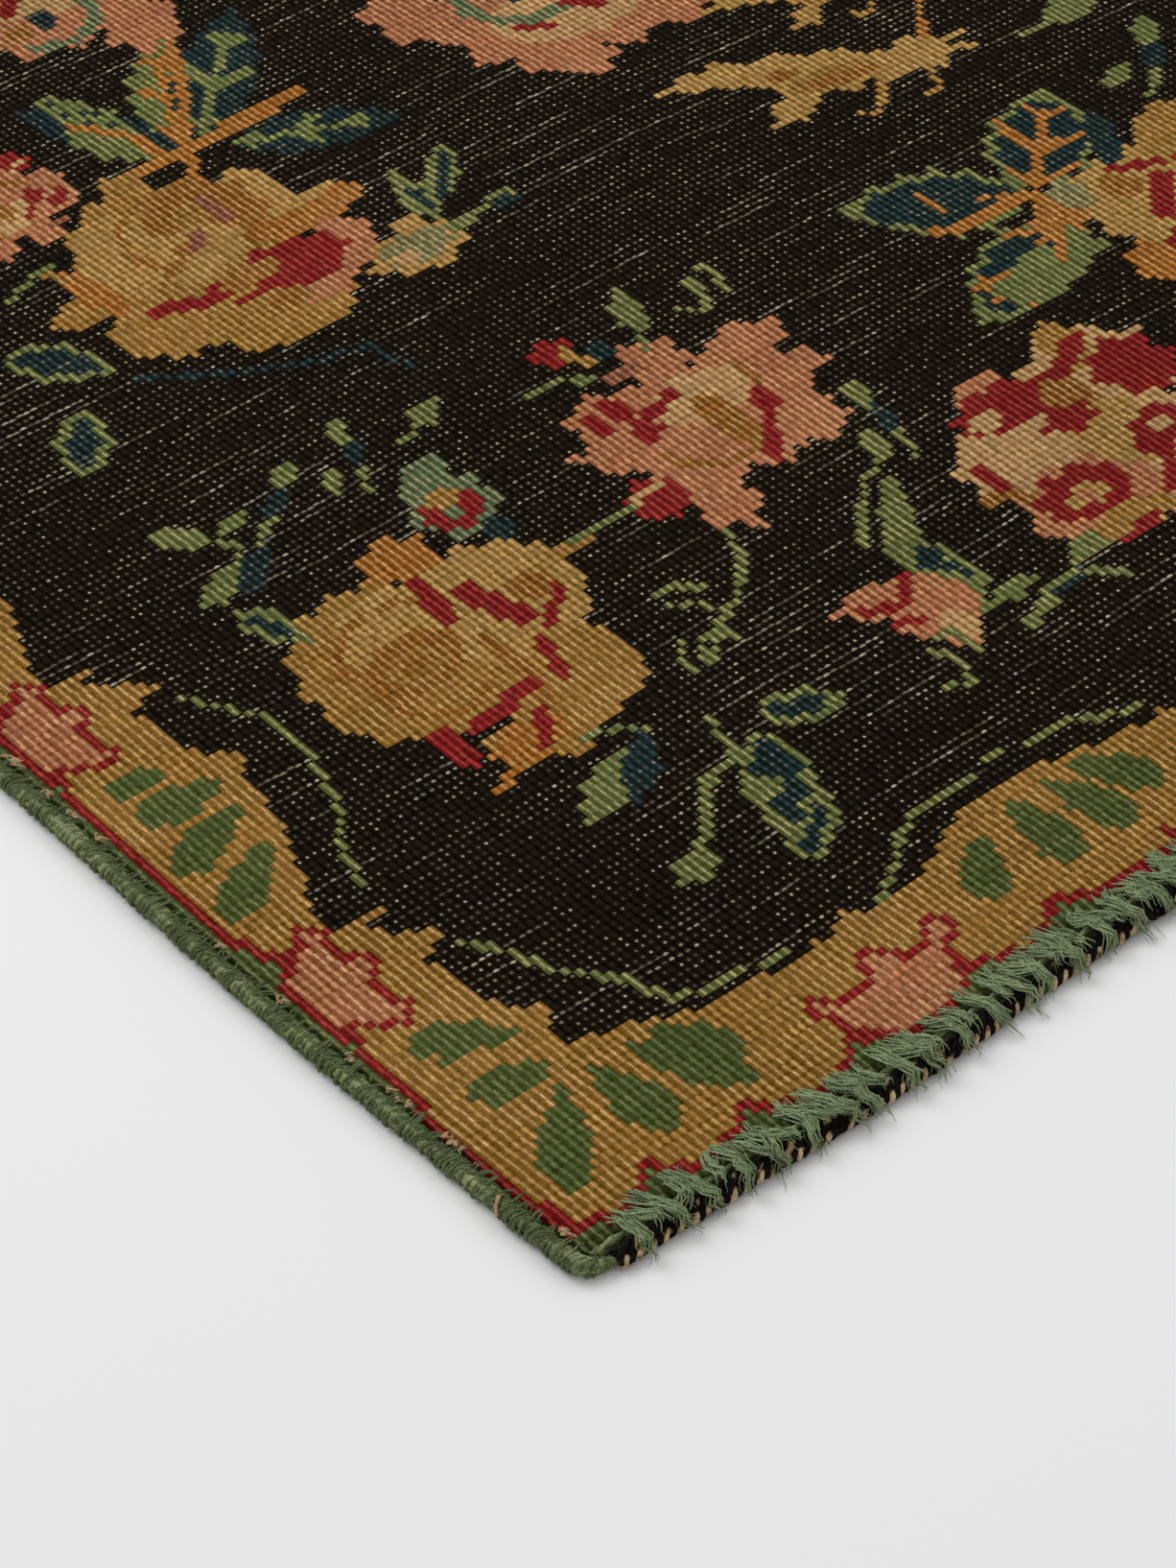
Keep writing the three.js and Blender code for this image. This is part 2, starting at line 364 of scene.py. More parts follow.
        (petal, "leaf", -28, -28, 30, 12, 8, 6, 0.15),
        (petal, "teal", -36, 34, 20, 12, -12, 5, 0.15),
        (stroke, "orange", 7, (-46, 16), (-20, 12), (0, 12)),
        (stroke, "orange", 3, (-32, 42), (-34, 26)),
        (stroke, "orange", 3, (-10, -14), (-22, -28)),
        (petal, "orange", 2, -2, 9, 14, 0, 5, 0.15),
        (petal, "sage", 12, 2, 8, 10),
        (petal, "teal", 50, 22, 6, 20, -32),
    ],
    "leafSpray": [
        (leaf, "teal", "teal", None, 2, -4, -34, 64, 13),
        (leaf, "leaf", "teal", "leaf", -8, 16, -20, 66, 10, 4),
        (leaf, "leaf", None, "orange", 4, 4, 44, 70, 15, 3),
        (leaf, "teal", "teal", "leaf", 14, 0, 82, 66, 17, 3),
        (leaf, "teal", "teal", "leaf", 20, -14, 84, -42, 14, 3),
        (leaf, "leaf", "leaf", None, -8, 0, -26, 40, 11),
        (stroke, "orange", 8, (-24, -6), (4, -4), (62, -2)),
        (stroke, "orange", 6, (-6, -22), (6, 2), (24, 24), (46, 62)),
        (stroke, "orange", 5, (-6, -4), (-8, 20), (-22, 38)),
    ],
    "wreath": [
        (leaf, "leaf", "teal", None, -2, -32, 30, 8, 11),
        (leaf, "leaf", "teal", None, 30, 26, 2, -22, 13),
        (petal, "leaf", 10, 4, 8, 7),
        (stroke, "leaf", 5, (-34, -10), (-16, 6), (-2, 20), (16, 24)),
        (petal, "leaf", -34, -8, 9, 7, 20, 5, 0.2),
        (stroke, "leaf", 3, (16, 24), (20, 42)),
    ],
    "smallLeaf": [(leaf, "leaf", "teal", None, -16, 4, 16, -9, 9)],
    "slimLeaf": [
        (leaf, "leaf", "leaf", None, -22, -6, 16, 14, 8),
        (leaf, "teal", "teal", None, -4, -8, 22, 16, 6),
    ],
    "paleLeaf": [
        (leaf, "leaf", "leaf", None, -2, -14, 8, 14, 7),
        (stroke, "leaf", 3, (-8, -24), (-2, -12)),
    ],
    "sprig": [
        (stroke, "leaf", 4, (-18, -14), (0, -2), (14, 12)),
        (petal, "leaf", 14, 12, 8, 5, 40),
        (petal, "teal", 2, 0, 9, 4, 30),
        (petal, "leaf", -16, 2, 9, 4, 20),
    ],
    "curl": [
        (stroke, "leaf", 3, (-14, -2), (-6, -10), (2, -2), (2, 10)),
        (stroke, "leaf", 3, (10, -6), (14, 10), (8, 14)),
    ],
}

# Where each flower lies in the near half: kind, x and y in mm from the near left corner, turn, size, mirror
nearFlowers = [
    ("leafSpray", 272, 556, 0, 1.0, 1),
    ("ringRose", 455, 540, 0, 1.0, 1),
    ("ringRose", 292, 682, 150, 0.9, 1),
    ("pinkRose", 196, 570, 200, 0.6, 1),
    ("broadRose", 233, 488, 0, 1.0, 1),
    ("goldLily", 503, 424, 0, 1.0, 1),
    ("goldLily", 548, 474, 8, 0.8, 1),
    ("goldRose", 158, 241, 0, 1.0, 1),
    ("pinkRose", 312, 282, 0, 1.0, 1),
    ("goldRose", 570, 262, 120, 1.0, 1),
    ("leafTrio", 505, 298, 0, 1.0, 1),
    ("mixedRose", 407, 184, 0, 1.0, 1),
    ("pinkTulip", 297, 157, 0, 1.0, 1),
    ("ringBud", 208, 308, 0, 1.0, 1),
    ("crimsonBud", 298, 350, 0, 1.0, 1),
    ("paleBud", 302, 438, 0, 1.0, 1),
    ("paleLeaf", 331, 354, 0, 1.0, 1),
    ("curl", 362, 344, 0, 1.0, 1),
    ("wreath", 180, 116, 0, 1.0, 1),
    ("slimLeaf", 158, 154, 0, 1.1, 1),
    ("smallLeaf", 230, 145, 0, 1.0, 1),
    ("smallLeaf", 155, 475, -30, 1.3, 1),
    ("smallLeaf", 128, 430, 75, 1.2, 1),
    ("smallLeaf", 118, 300, -50, 0.9, 1),
    ("slimLeaf", 124, 326, -6, 0.9, 1),
    ("sprig", 158, 352, 0, 1.0, 1),
    ("paleLeaf", 120, 358, 62, 0.9, 1),
    ("sprig", 198, 354, 30, 0.9, 1),
    ("paleLeaf", 234, 358, -40, 0.8, 1),
    ("curl", 238, 205, 60, 1.0, 1),
    ("curl", 226, 188, 150, 0.8, 1),
    ("curl", 285, 124, 20, 1.0, 1),
    ("sprig", 346, 130, -20, 1.2, 1),
    ("sprig", 362, 240, 40, 1.0, 1),
    ("sprig", 610, 350, 10, 1.2, 1),
    ("paleLeaf", 612, 402, -60, 1.2, 1),
    ("pinkRose", 700, 160, 40, 1.0, 1),
    ("leafSpray", 660, 500, 200, 0.9, 1),
    ("broadRose", 760, 350, 30, 1.0, -1),
    ("goldRose", 920, 210, 200, 1.0, -1),
    ("mixedRose", 700, 640, 20, 1.0, 1),
    ("ringRose", 930, 500, 160, 1.0, 1),
    ("pinkRose", 545, 660, 90, 1.0, 1),
    ("leafTrio", 880, 350, 60, 0.9, 1),
    ("leafTrio", 400, 700, 100, 0.9, 1),
    ("goldLily", 830, 610, 60, 1.0, 1),
    ("goldRose", 170, 690, 70, 1.0, 1),
    ("pinkTulip", 820, 130, 40, 1.0, 1),
    ("pinkTulip", 560, 140, -20, 0.9, -1),
    ("wreath", 650, 270, 90, 1.0, 1),
    ("wreath", 1000, 350, 30, 1.0, -1),
    ("ringBud", 610, 180, 0, 1.0, 1),
    ("ringBud", 770, 480, 60, 1.0, 1),
    ("crimsonBud", 1000, 640, 30, 1.0, 1),
    ("paleBud", 900, 680, 120, 1.0, 1),
    ("paleBud", 120, 590, 40, 0.8, 1),
    ("smallLeaf", 480, 120, 20, 1.2, 1),
    ("slimLeaf", 1000, 430, 100, 1.2, 1),
    ("leafSpray", 360, 790, 60, 0.8, 1),
    ("leafSpray", 1010, 760, 150, 0.7, 1),
    ("broadRose", 460, 770, 80, 0.9, 1),
]

# Thin tendrils of one knot's width, through points in mm
tendrils = [
    [(68, 290), (76, 276), (85, 262), (86, 245), (82, 225), (74, 205), (66, 195), (58, 172)],
    [(66, 130), (74, 118), (80, 100), (94, 84), (98, 68), (112, 62), (142, 60)],
    [(180, 54), (196, 62), (208, 72), (225, 78), (262, 79), (290, 78), (302, 70), (318, 64)],
    [(274, 232), (268, 216), (252, 200), (240, 196), (224, 182)],
    [(228, 262), (256, 262)],
    [(304, 190), (318, 206), (334, 220), (352, 226)],
    [(160, 182), (176, 176), (182, 168)],
    [(168, 446), (188, 430), (206, 418), (226, 408), (246, 402), (250, 380)],
    [(330, 128), (352, 132), (366, 118)],
    [(160, 516), (172, 522), (186, 524)],
]
tendrilColours = {7: "teal"}  # by number, the others are leaf green

# The border repeats along an edge. Away is the distance in from the edge, and along runs from a fan's
# middle. A fan's leaf has its along, away, half length, half width and turn. Corner is the outer line
# from the corner on.
border = {
    "side": {
        "pitch": 161.5,
        "first": 67,
        "inner": [(-80, 47), (-77, 44), (-75, 51), (-74, 41), (-69, 52), (-67, 33), (-55, 33), (-46, 37),
                  (-30, 45), (-20, 51), (-8, 53), (0, 57), (14, 57), (22, 65), (31, 55), (42, 51), (58, 49),
                  (64, 46), (70, 61), (76, 58), (80, 50)],
        "outer": [(-81, 3), (-75, 7), (-67, 12), (-60, 6), (-50, 3.5), (-30, 2.7), (0, 2), (15, 2.5),
                  (28, 3.5), (42, 3), (50, 6), (57, 3.6), (72, 2), (81, 3)],
        "corner": [(0, 2), (9, 1.5), (33, 0.6), (50, 0.3), (77, 0), (88, 4), (96, 3), (104, 2.5)],
        "line": 4,
        "bud": {"at": -8, "size": 0.85},
        "fan": [(34, 27, 10, 6.5, 100), (17, 32, 17, 8, 92), (-4, 29, 20, 8, 67), (-30, 27, 19, 8, 54)],
    },
    "end": {
        "pitch": 194.5,
        "first": 55.15,
        "inner": [(-97, 54), (-86, 59), (-80, 53), (-54, 53), (-42, 60), (-34, 64), (-20, 68), (2, 70),
                  (18, 68), (36, 62), (48, 58), (64, 58), (68, 60), (71, 53), (90, 53), (91, 57), (97, 54)],
        "outer": [(-97, 7), (-83, 15), (-71, 11), (-60, 4), (-46, 4), (-39, 9), (-30, 15), (-23, 9), (-9, 5),
                  (10, 5), (18, 7), (24, 14), (30, 8), (40, 4), (55, 4), (61, 7), (69, 14), (80, 6), (97, 7)],
        "corner": [(0, 6), (5, 8), (11, 6), (20, 3.5), (27, 4), (33, 9), (39, 15), (44, 8), (50, 3.5),
                   (58, 3.5), (67, 6), (73, 8), (79, 14), (83, 9), (89, 5)],
        "line": 4.5,
        "bud": {"at": 0, "size": 1},
        "fan": [(-37, 42, 15, 8, 48), (-8, 42, 18, 8, 84), (14, 43, 18, 8, 104), (32, 48, 17, 8, 124)],
    },
}
# The corner's own leaves, each from its stalk to its tip and half its width
cornerLeaves = [
    (44, 61, 13, 22, 9),
    (55, 64, 57, 20, 9),
    (68, 64, 90, 22, 9),
    (49, 68, 17, 73, 8),
    (51, 85, 22, 104, 7),
]
cornerLeafShape = {"belly": 1.5, "fullness": 0.7}
fanShape = {
    "cornerRoom": 24,  # mm past the first fan's middle that the corner's leaves take
    "taper": 0.35,
}
unevenEdge = {
    "waves": [(1.6, 23.0), (1.2, 9.0)],  # mm of swing, and mm along to a radian
    "inner": 0.6,  # share of the swing in the border's inner edge
    "outer": 0.3,  # and in its outer line
}
budShape = {
    "away": [7, 9, 14, 20, 29, 30],
    "half": [0, 15, 19, 23, 26, 0],  # mm, half the bud's width at those distances
    "points": [(-23, 38, 5), (3, 41, 10), (26, 39, 6)],  # along, tip, half the width at its base
    "base": 27,
    "lean": 0.15,
}


def spread(mask):
    # a mask and the knots beside it
    wide = mask.copy()
    wide[1:] |= mask[:-1]
    wide[:-1] |= mask[1:]
    wide[:, 1:] |= mask[:, :-1]
    wide[:, :-1] |= mask[:, 1:]
    return wide


def budMask(along, away):
    # a tulip-shaped bud with three points, that stands on the border's outline
    body = np.abs(along) < np.interp(away, budShape["away"], budShape["half"])
    for x, top, half in budShape["points"]:
        rise = (away - budShape["base"]) / (top - budShape["base"])
        aside = np.abs(along - x - x * budShape["lean"] * rise)
        body |= (rise > 0) & (rise < 1) & (aside < half * (1 - rise))
    return body


def knotBorder():
    # the four edges: each is worked from its fans, and mitred at the corners
    gx, gy = np.meshgrid(knotX, knotY)
    fromSide = np.minimum(gx, clothWidth - gx)
    fromEnd = np.minimum(gy, clothLength - gy)
    edges = [("side", fromSide, fromEnd), ("end", fromEnd, fromSide)]
    inside = np.ones(gx.shape, bool)
    field = np.ones(gx.shape, bool)
    line = np.zeros(gx.shape, bool)
    marks = {"fern": np.zeros(gx.shape, bool), "pink": np.zeros(gx.shape, bool)}
    for name, away, position in edges:
        kind = border[name]
        pitch = kind["pitch"]
        along = (position - kind["first"] + pitch / 2) % pitch - pitch / 2
        wobble = sum(swing * np.sin(position / span) for swing, span in unevenEdge["waves"])
        field &= away > np.interp(along, *zip(*kind["inner"])) + wobble * unevenEdge["inner"]
        fromCorner = kind["corner"]
        outer = np.interp(along, *zip(*kind["outer"])) + wobble * unevenEdge["outer"]
        outer = np.where(position < fromCorner[-1][0], np.interp(position, *zip(*fromCorner)), outer)
        inside &= away > outer
        line |= away < outer + kind["line"]
        corner = position < kind["first"] + fanShape["cornerRoom"]
        for x, y, long, wide, turn in kind["fan"]:
            angle = math.radians(turn)
            u = ((along - x) * math.cos(angle) + (away - y) * math.sin(angle)) / long
            v = ((away - y) * math.cos(angle) - (along - x) * math.sin(angle)) / wide
            taper = 1 - fanShape["taper"] * u
            marks["fern"] |= (u**2 + (v / taper) ** 2 < 1) & ~corner
        size = kind["bud"]["size"]
        bud = (position + pitch - kind["first"]) % pitch - pitch / 2 - kind["bud"]["at"]
        marks["pink"] |= budMask(bud / size, away / size) & (position > kind["first"])
    for x0, y0, x1, y1, half in cornerLeaves:
        length = math.hypot(x1 - x0, y1 - y0)
        t = ((fromSide - x0) * (x1 - x0) + (fromEnd - y0) * (y1 - y0)) / length**2
        away = ((fromEnd - y0) * (x1 - x0) - (fromSide - x0) * (y1 - y0)) / length
        arch = np.sin(math.pi * np.clip(t, 0, 1) ** cornerLeafShape["belly"])
        reach = half * arch ** cornerLeafShape["fullness"]
        marks["fern"] |= (np.abs(away) < reach) & (t > 0) & (t < 1)
    band = ~field
    chart[band] = yarnNames.index("gold")
    chart[band & marks["fern"]] = yarnNames.index("fern")
    line = (line | spread(~inside)) & inside
    chart[band & line] = yarnNames.index("crimson")
    chart[~inside] = yarnNames.index("grass")
    outlined = spread(marks["pink"])
    chart[outlined & band] = yarnNames.index("crimson")
    chart[marks["pink"] & band] = yarnNames.index("pink")


def knotField():
    # the flowers of the near half, and the same turned half round for the far half
    for kind, x, y, turn, size, mirror in nearFlowers:
        for far in (False, True):
            place = {"x": x - cloth["tucked"], "y": y, "turn": turn, "size": size, "mirror": mirror}
            if far:
                place.update(x=clothWidth - place["x"], y=clothLength - y, turn=turn + 180)
            for work, *values in flowers[kind]:
                work(place, *values)
    asDrawn = {"x": 0, "y": 0, "turn": 0, "size": 1, "mirror": 1}
    for number, points in enumerate(tendrils):
        colour = tendrilColours.get(number, "leaf")
        for turned in (False, True):
            line = [(x - cloth["tucked"], y) for x, y in points]
            line = [(clothWidth - x, clothLength - y) for x, y in line] if turned else line
            stroke(asDrawn, colour, oneKnot, *line)


knotField()
knotBorder()
print("chart knotted", chart.shape)


# The cloth's sheet
pileRelief = {
    "rib": 0.2,  # mm from a valley between warps to a crest
    "breakEvery": 24,  # rows between the sheet's own breaks
    "swellHigh": 0.5,  # mm of slow unevenness of the lying cloth
    "swellRim": 12,  # knots in from the edge over which it grows
    "edgeFall": 0.7,  # mm that the pile is lower at its outer knots
    "edgeRim": 2.0,  # knots in from the edge that are lower
    "knotRise": 0.25,  # mm of unevenness from knot to knot
    "crestShare": 0.4,  # share of it that the crests have
    "backHigh": 0.25,  # mm of the back above the floor
    "backStep": 4,  # knots to a face on the back
}
# The map that a bake uses: the pile on the left and the back beside it, as shares of the picture
bakeLayout = {"margin": 0.005, "pileWide": 0.66, "backFrom": 0.68, "backWide": 0.31, "high": 0.99}


def wander(waves, along):
    return sum(swing * np.sin(2 * np.pi * turns * along + phase) for turns, swing, phase in waves)


def clothPoint(u, v):
    # a point of the cloth in mm, u across and v along from 0 to 1
    left = -clothWidth / 2 + wander(cloth["sideWaves"], v)
    right = clothWidth / 2 - wander(cloth["sideWaves"], 1 - v)
    near = -clothLength / 2 + wander(cloth["endWaves"], u)
    far = clothLength / 2 - wander(cloth["endWaves"], 1 - u)
    return left + (right - left) * u, near + (far - near) * v


def linear(colour):
    # an 8-bit colour as linear light
    share = np.asarray(colour, float) / 255
    return np.where(share <= 0.04045, share / 12.92, ((share + 0.055) / 1.055) ** 2.4)


def sheetTop(column, row, crest):
    # height of the pile at a place of the chart
    u, v = column / columnCount, row / rowCount
    relief = pileRelief
    rim = min(column, columnCount - column, row, rowCount - row)
    swell = relief["swellHigh"] * np.sin(9 * u + 2 * np.sin(5 * v)) * np.sin(11 * v + 1.5 * np.sin(7 * u))
    swell = swell * min(1, rim / relief["swellRim"])
    fall = relief["edgeFall"] * max(0.0, 1 - rim / relief["edgeRim"])
    lift = 0 if crest else -relief["rib"]
    rise = relief["knotRise"] * math.sin(row * 1.9 + column * 2.7) * math.sin(row * 0.37 + column * 1.3)
    rise = rise * (relief["crestShare"] if crest else 0)
    return cloth["thick"] + relief["backHigh"] + lift + swell - fall + rise


def makeSheet():
    # one rib of pile to each column of knots, broken where the yarn changes, over a coarser flat back
    breaks = []
    for column in range(columnCount):
        changes = (np.nonzero(np.diff(chart[:, column].astype(int)))[0] + 1).tolist()
        regular = range(0, rowCount, pileRelief["breakEvery"])
        breaks.append(sorted({0, rowCount, *changes, *regular}))
    points, knots, faces, tints = [], [], [], []

    def addPoint(column, row, height):
        x, y = clothPoint(column / columnCount, row / rowCount)
        points.append((x * mm, y * mm, height * mm))
        knots.append((column, row))
        return len(points) - 1

    valleys = []
    for line in range(columnCount + 1):
        rows = sorted({*(breaks[line - 1] if line else []), *(breaks[line] if line < columnCount else [])})
        valleys.append({row: addPoint(line, row, sheetTop(line, row, False)) for row in rows})
    crests = [
        {row: addPoint(column + 0.5, row, sheetTop(column + 0.5, row, True)) for row in breaks[column]}
        for column in range(columnCount)
    ]
    for column in range(columnCount):
        crest = crests[column]
        for low, high in zip(breaks[column], breaks[column][1:]):
            tint = chart[low, column]
            for line, turned in ((column, False), (column + 1, True)):
                side = [point for row, point in valleys[line].items() if low <= row <= high]
                half = (len(side) - 1) // 2
                fan = [(crest[low], b, a) for a, b in zip(side[: half + 1], side[1 : half + 1])]
                fan += [(crest[low], crest[high], side[half])]
                fan += [(crest[high], b, a) for a, b in zip(side[half:], side[half + 1 :])]
                faces += [face[::-1] for face in fan] if turned else fan
                tints += [tint] * len(fan)
    topFaces = len(faces)

    step = pileRelief["backStep"]
    backColumns = sorted({*range(0, columnCount, step), columnCount})
    backRows = sorted({*range(0, rowCount, step), rowCount})
    backHigh = pileRelief["backHigh"]
    back = {(column, row): addPoint(column, row, backHigh) for column in backColumns for row in backRows}
    for c0, c1 in zip(backColumns, backColumns[1:]):
        for r0, r1 in zip(backRows, backRows[1:]):
            corners = [back[c0, r0], back[c0, r1], back[c1, r1], back[c1, r0]]
            faces += [tuple(corners[:3]), (corners[0], corners[2], corners[3])]
            tints += [chart[min(r0 + 1, rowCount - 1), min(c0 + 1, columnCount - 1)]] * 2

    def wall(upper, lower, turned):
        # closes the sheet between two rows of points, each a sorted list of (distance, point)
        a, b = 0, 0
        while a < len(upper) - 1 or b < len(lower) - 1:
            rises = b == len(lower) - 1 or (a < len(upper) - 1 and upper[a + 1][0] <= lower[b + 1][0])
            third = upper[a + 1] if rises else lower[b + 1]
            face = (upper[a][1], lower[b][1], third[1])
            faces.append(face[::-1] if turned else face)
            tints.append(yarnNames.index("fern"))
            a, b = (a + 1, b) if rises else (a, b + 1)

    for line, turned in ((0, True), (columnCount, False)):
        wall(sorted(valleys[line].items()), [(row, back[line, row]) for row in backRows], turned)
    for row, turned in ((0, False), (rowCount, True)):
        upper = [(line, valleys[line][row]) for line in range(columnCount + 1)]
        upper += [(column + 0.5, crests[column][row]) for column in range(columnCount)]
        wall(sorted(upper), [(column, back[column, row]) for column in backColumns], turned)

    mesh = bpy.data.meshes.new("carpet_pile")
    mesh.from_pydata(points, [], faces)
    loops = np.zeros(len(mesh.loops), np.int32)
    mesh.loops.foreach_get("vertex_index", loops)
    palette = np.array([[*linear(yarn[name]), 1.0] for name in yarnNames])
    colour = mesh.color_attributes.new("yarn", "FLOAT_COLOR", "CORNER")
    colour.data.foreach_set("color", np.repeat(palette[np.array(tints)], 3, axis=0).ravel())
    places = np.array(knots, float)
    knotMap = mesh.uv_layers.new(name="knots")
    knotMap.data.foreach_set("uv", places[loops].ravel())
    bakeMap = mesh.uv_layers.new(name="OFBake")
    shareAcross, shareAlong = (places / (columnCount, rowCount))[loops].T
    flat = np.repeat(np.arange(len(faces)) >= topFaces, 3)
    pileAcross = bakeLayout["margin"] + bakeLayout["pileWide"] * shareAcross
    backAcross = bakeLayout["backFrom"] + bakeLayout["backWide"] * shareAcross
    across = np.where(flat, backAcross, pileAcross)
    along = bakeLayout["margin"] + bakeLayout["high"] * shareAlong
    bakeMap.data.foreach_set("uv", np.stack([across, along], 1).ravel())
    mesh.shade_smooth()
    piece = bpy.data.objects.new("carpet_pile", mesh)
    bpy.context.scene.collection.objects.link(piece)
    print("pile sheet", len(faces), "faces")
    return piece


# Shader groups
def newGroup(name, inputs, outputs):
    # an empty node group with its sockets: (name, kind, default)
    group = bpy.data.node_groups.new(name, "ShaderNodeTree")
    for label, kind, value in inputs:
        socket = group.interface.new_socket(label, in_out="INPUT", socket_type=f"NodeSocket{kind}")
        if value is not None:
            socket.default_value = value
    for label, kind in outputs:
        group.interface.new_socket(label, in_out="OUTPUT", socket_type=f"NodeSocket{kind}")
    return group, group.nodes.new("NodeGroupInput"), group.nodes.new("NodeGroupOutput")


class Wiring:
    # short hands for the nodes of one tree: a value is a number, a colour or another node's output
    def __init__(self, tree):
        self.tree = tree

    def node(self, kind, values=None, **settings):
        made = self.tree.nodes.new(kind)
        for name, value in settings.items():
            setattr(made, name, value)
        for key, value in (values or {}).items():
            self.feed(made.inputs[key], value)
        return made

    def feed(self, socket, value):
        if isinstance(value, bpy.types.NodeSocket):
            self.tree.links.new(value, socket)
        else:
            socket.default_value = value

    def math(self, operation, a, b=0.0):
        return self.node("ShaderNodeMath", {0: a, 1: b}, operation=operation).outputs[0]

    def distance(self, a, b):
        # how far a point with these two coordinates is from the middle
        squares = self.math("ADD", self.math("MULTIPLY", a, a), self.math("MULTIPLY", b, b))
        return self.math("SQRT", squares)

    def ramp(self, value, low, high, start=0.0, end=1.0):
        # eases from start to end as value goes from low to high
        values = {"Value": value, "From Min": low, "From Max": high, "To Min": start, "To Max": end}
        return self.node("ShaderNodeMapRange", values, interpolation_type="SMOOTHSTEP").outputs[0]

    def mix(self, share, a, b, blend="MIX"):
        made = self.node("ShaderNodeMix", data_type="RGBA", blend_type=blend)
        self.feed(made.inputs[0], share)
        self.feed(made.inputs[6], a)
        self.feed(made.inputs[7], b)
        return made.outputs[2]

    def noise(self, vector, scale, detail=2.0):
        values = {"Vector": vector, "Scale": scale, "Detail": detail}
        return self.node("ShaderNodeTexNoise", values).outputs[0]

    def scaled(self, vector, by, shift=(0, 0, 0)):
        return self.node("ShaderNodeMapping", {"Vector": vector, "Scale": by, "Location": shift}).outputs[0]


def fuzzGroup():
    # woolly fibres: a height and a light and dark shade, finer and coarser
    group, given, result = newGroup(
        "wool fuzz",
        [("Vector", "Vector", None), ("Fibre scale", "Float", 900.0)],
        [("Height", "Float"), ("Shade", "Float")],
    )
    wire = Wiring(group)
    fine = wire.noise(given.outputs[0], given.outputs[1], 3.0)
    coarse = wire.noise(given.outputs[0], wire.math("MULTIPLY", given.outputs[1], 0.22), 2.0)
    height = wire.math("ADD", wire.math("MULTIPLY", fine, 0.65), wire.math("MULTIPLY", coarse, 0.35))
    light = wire.math("ADD", fine, wire.math("MULTIPLY", coarse, 0.6))
    wire.feed(result.inputs[0], height)
    wire.feed(result.inputs[1], wire.ramp(light, 0.55, 1.05))
    return group


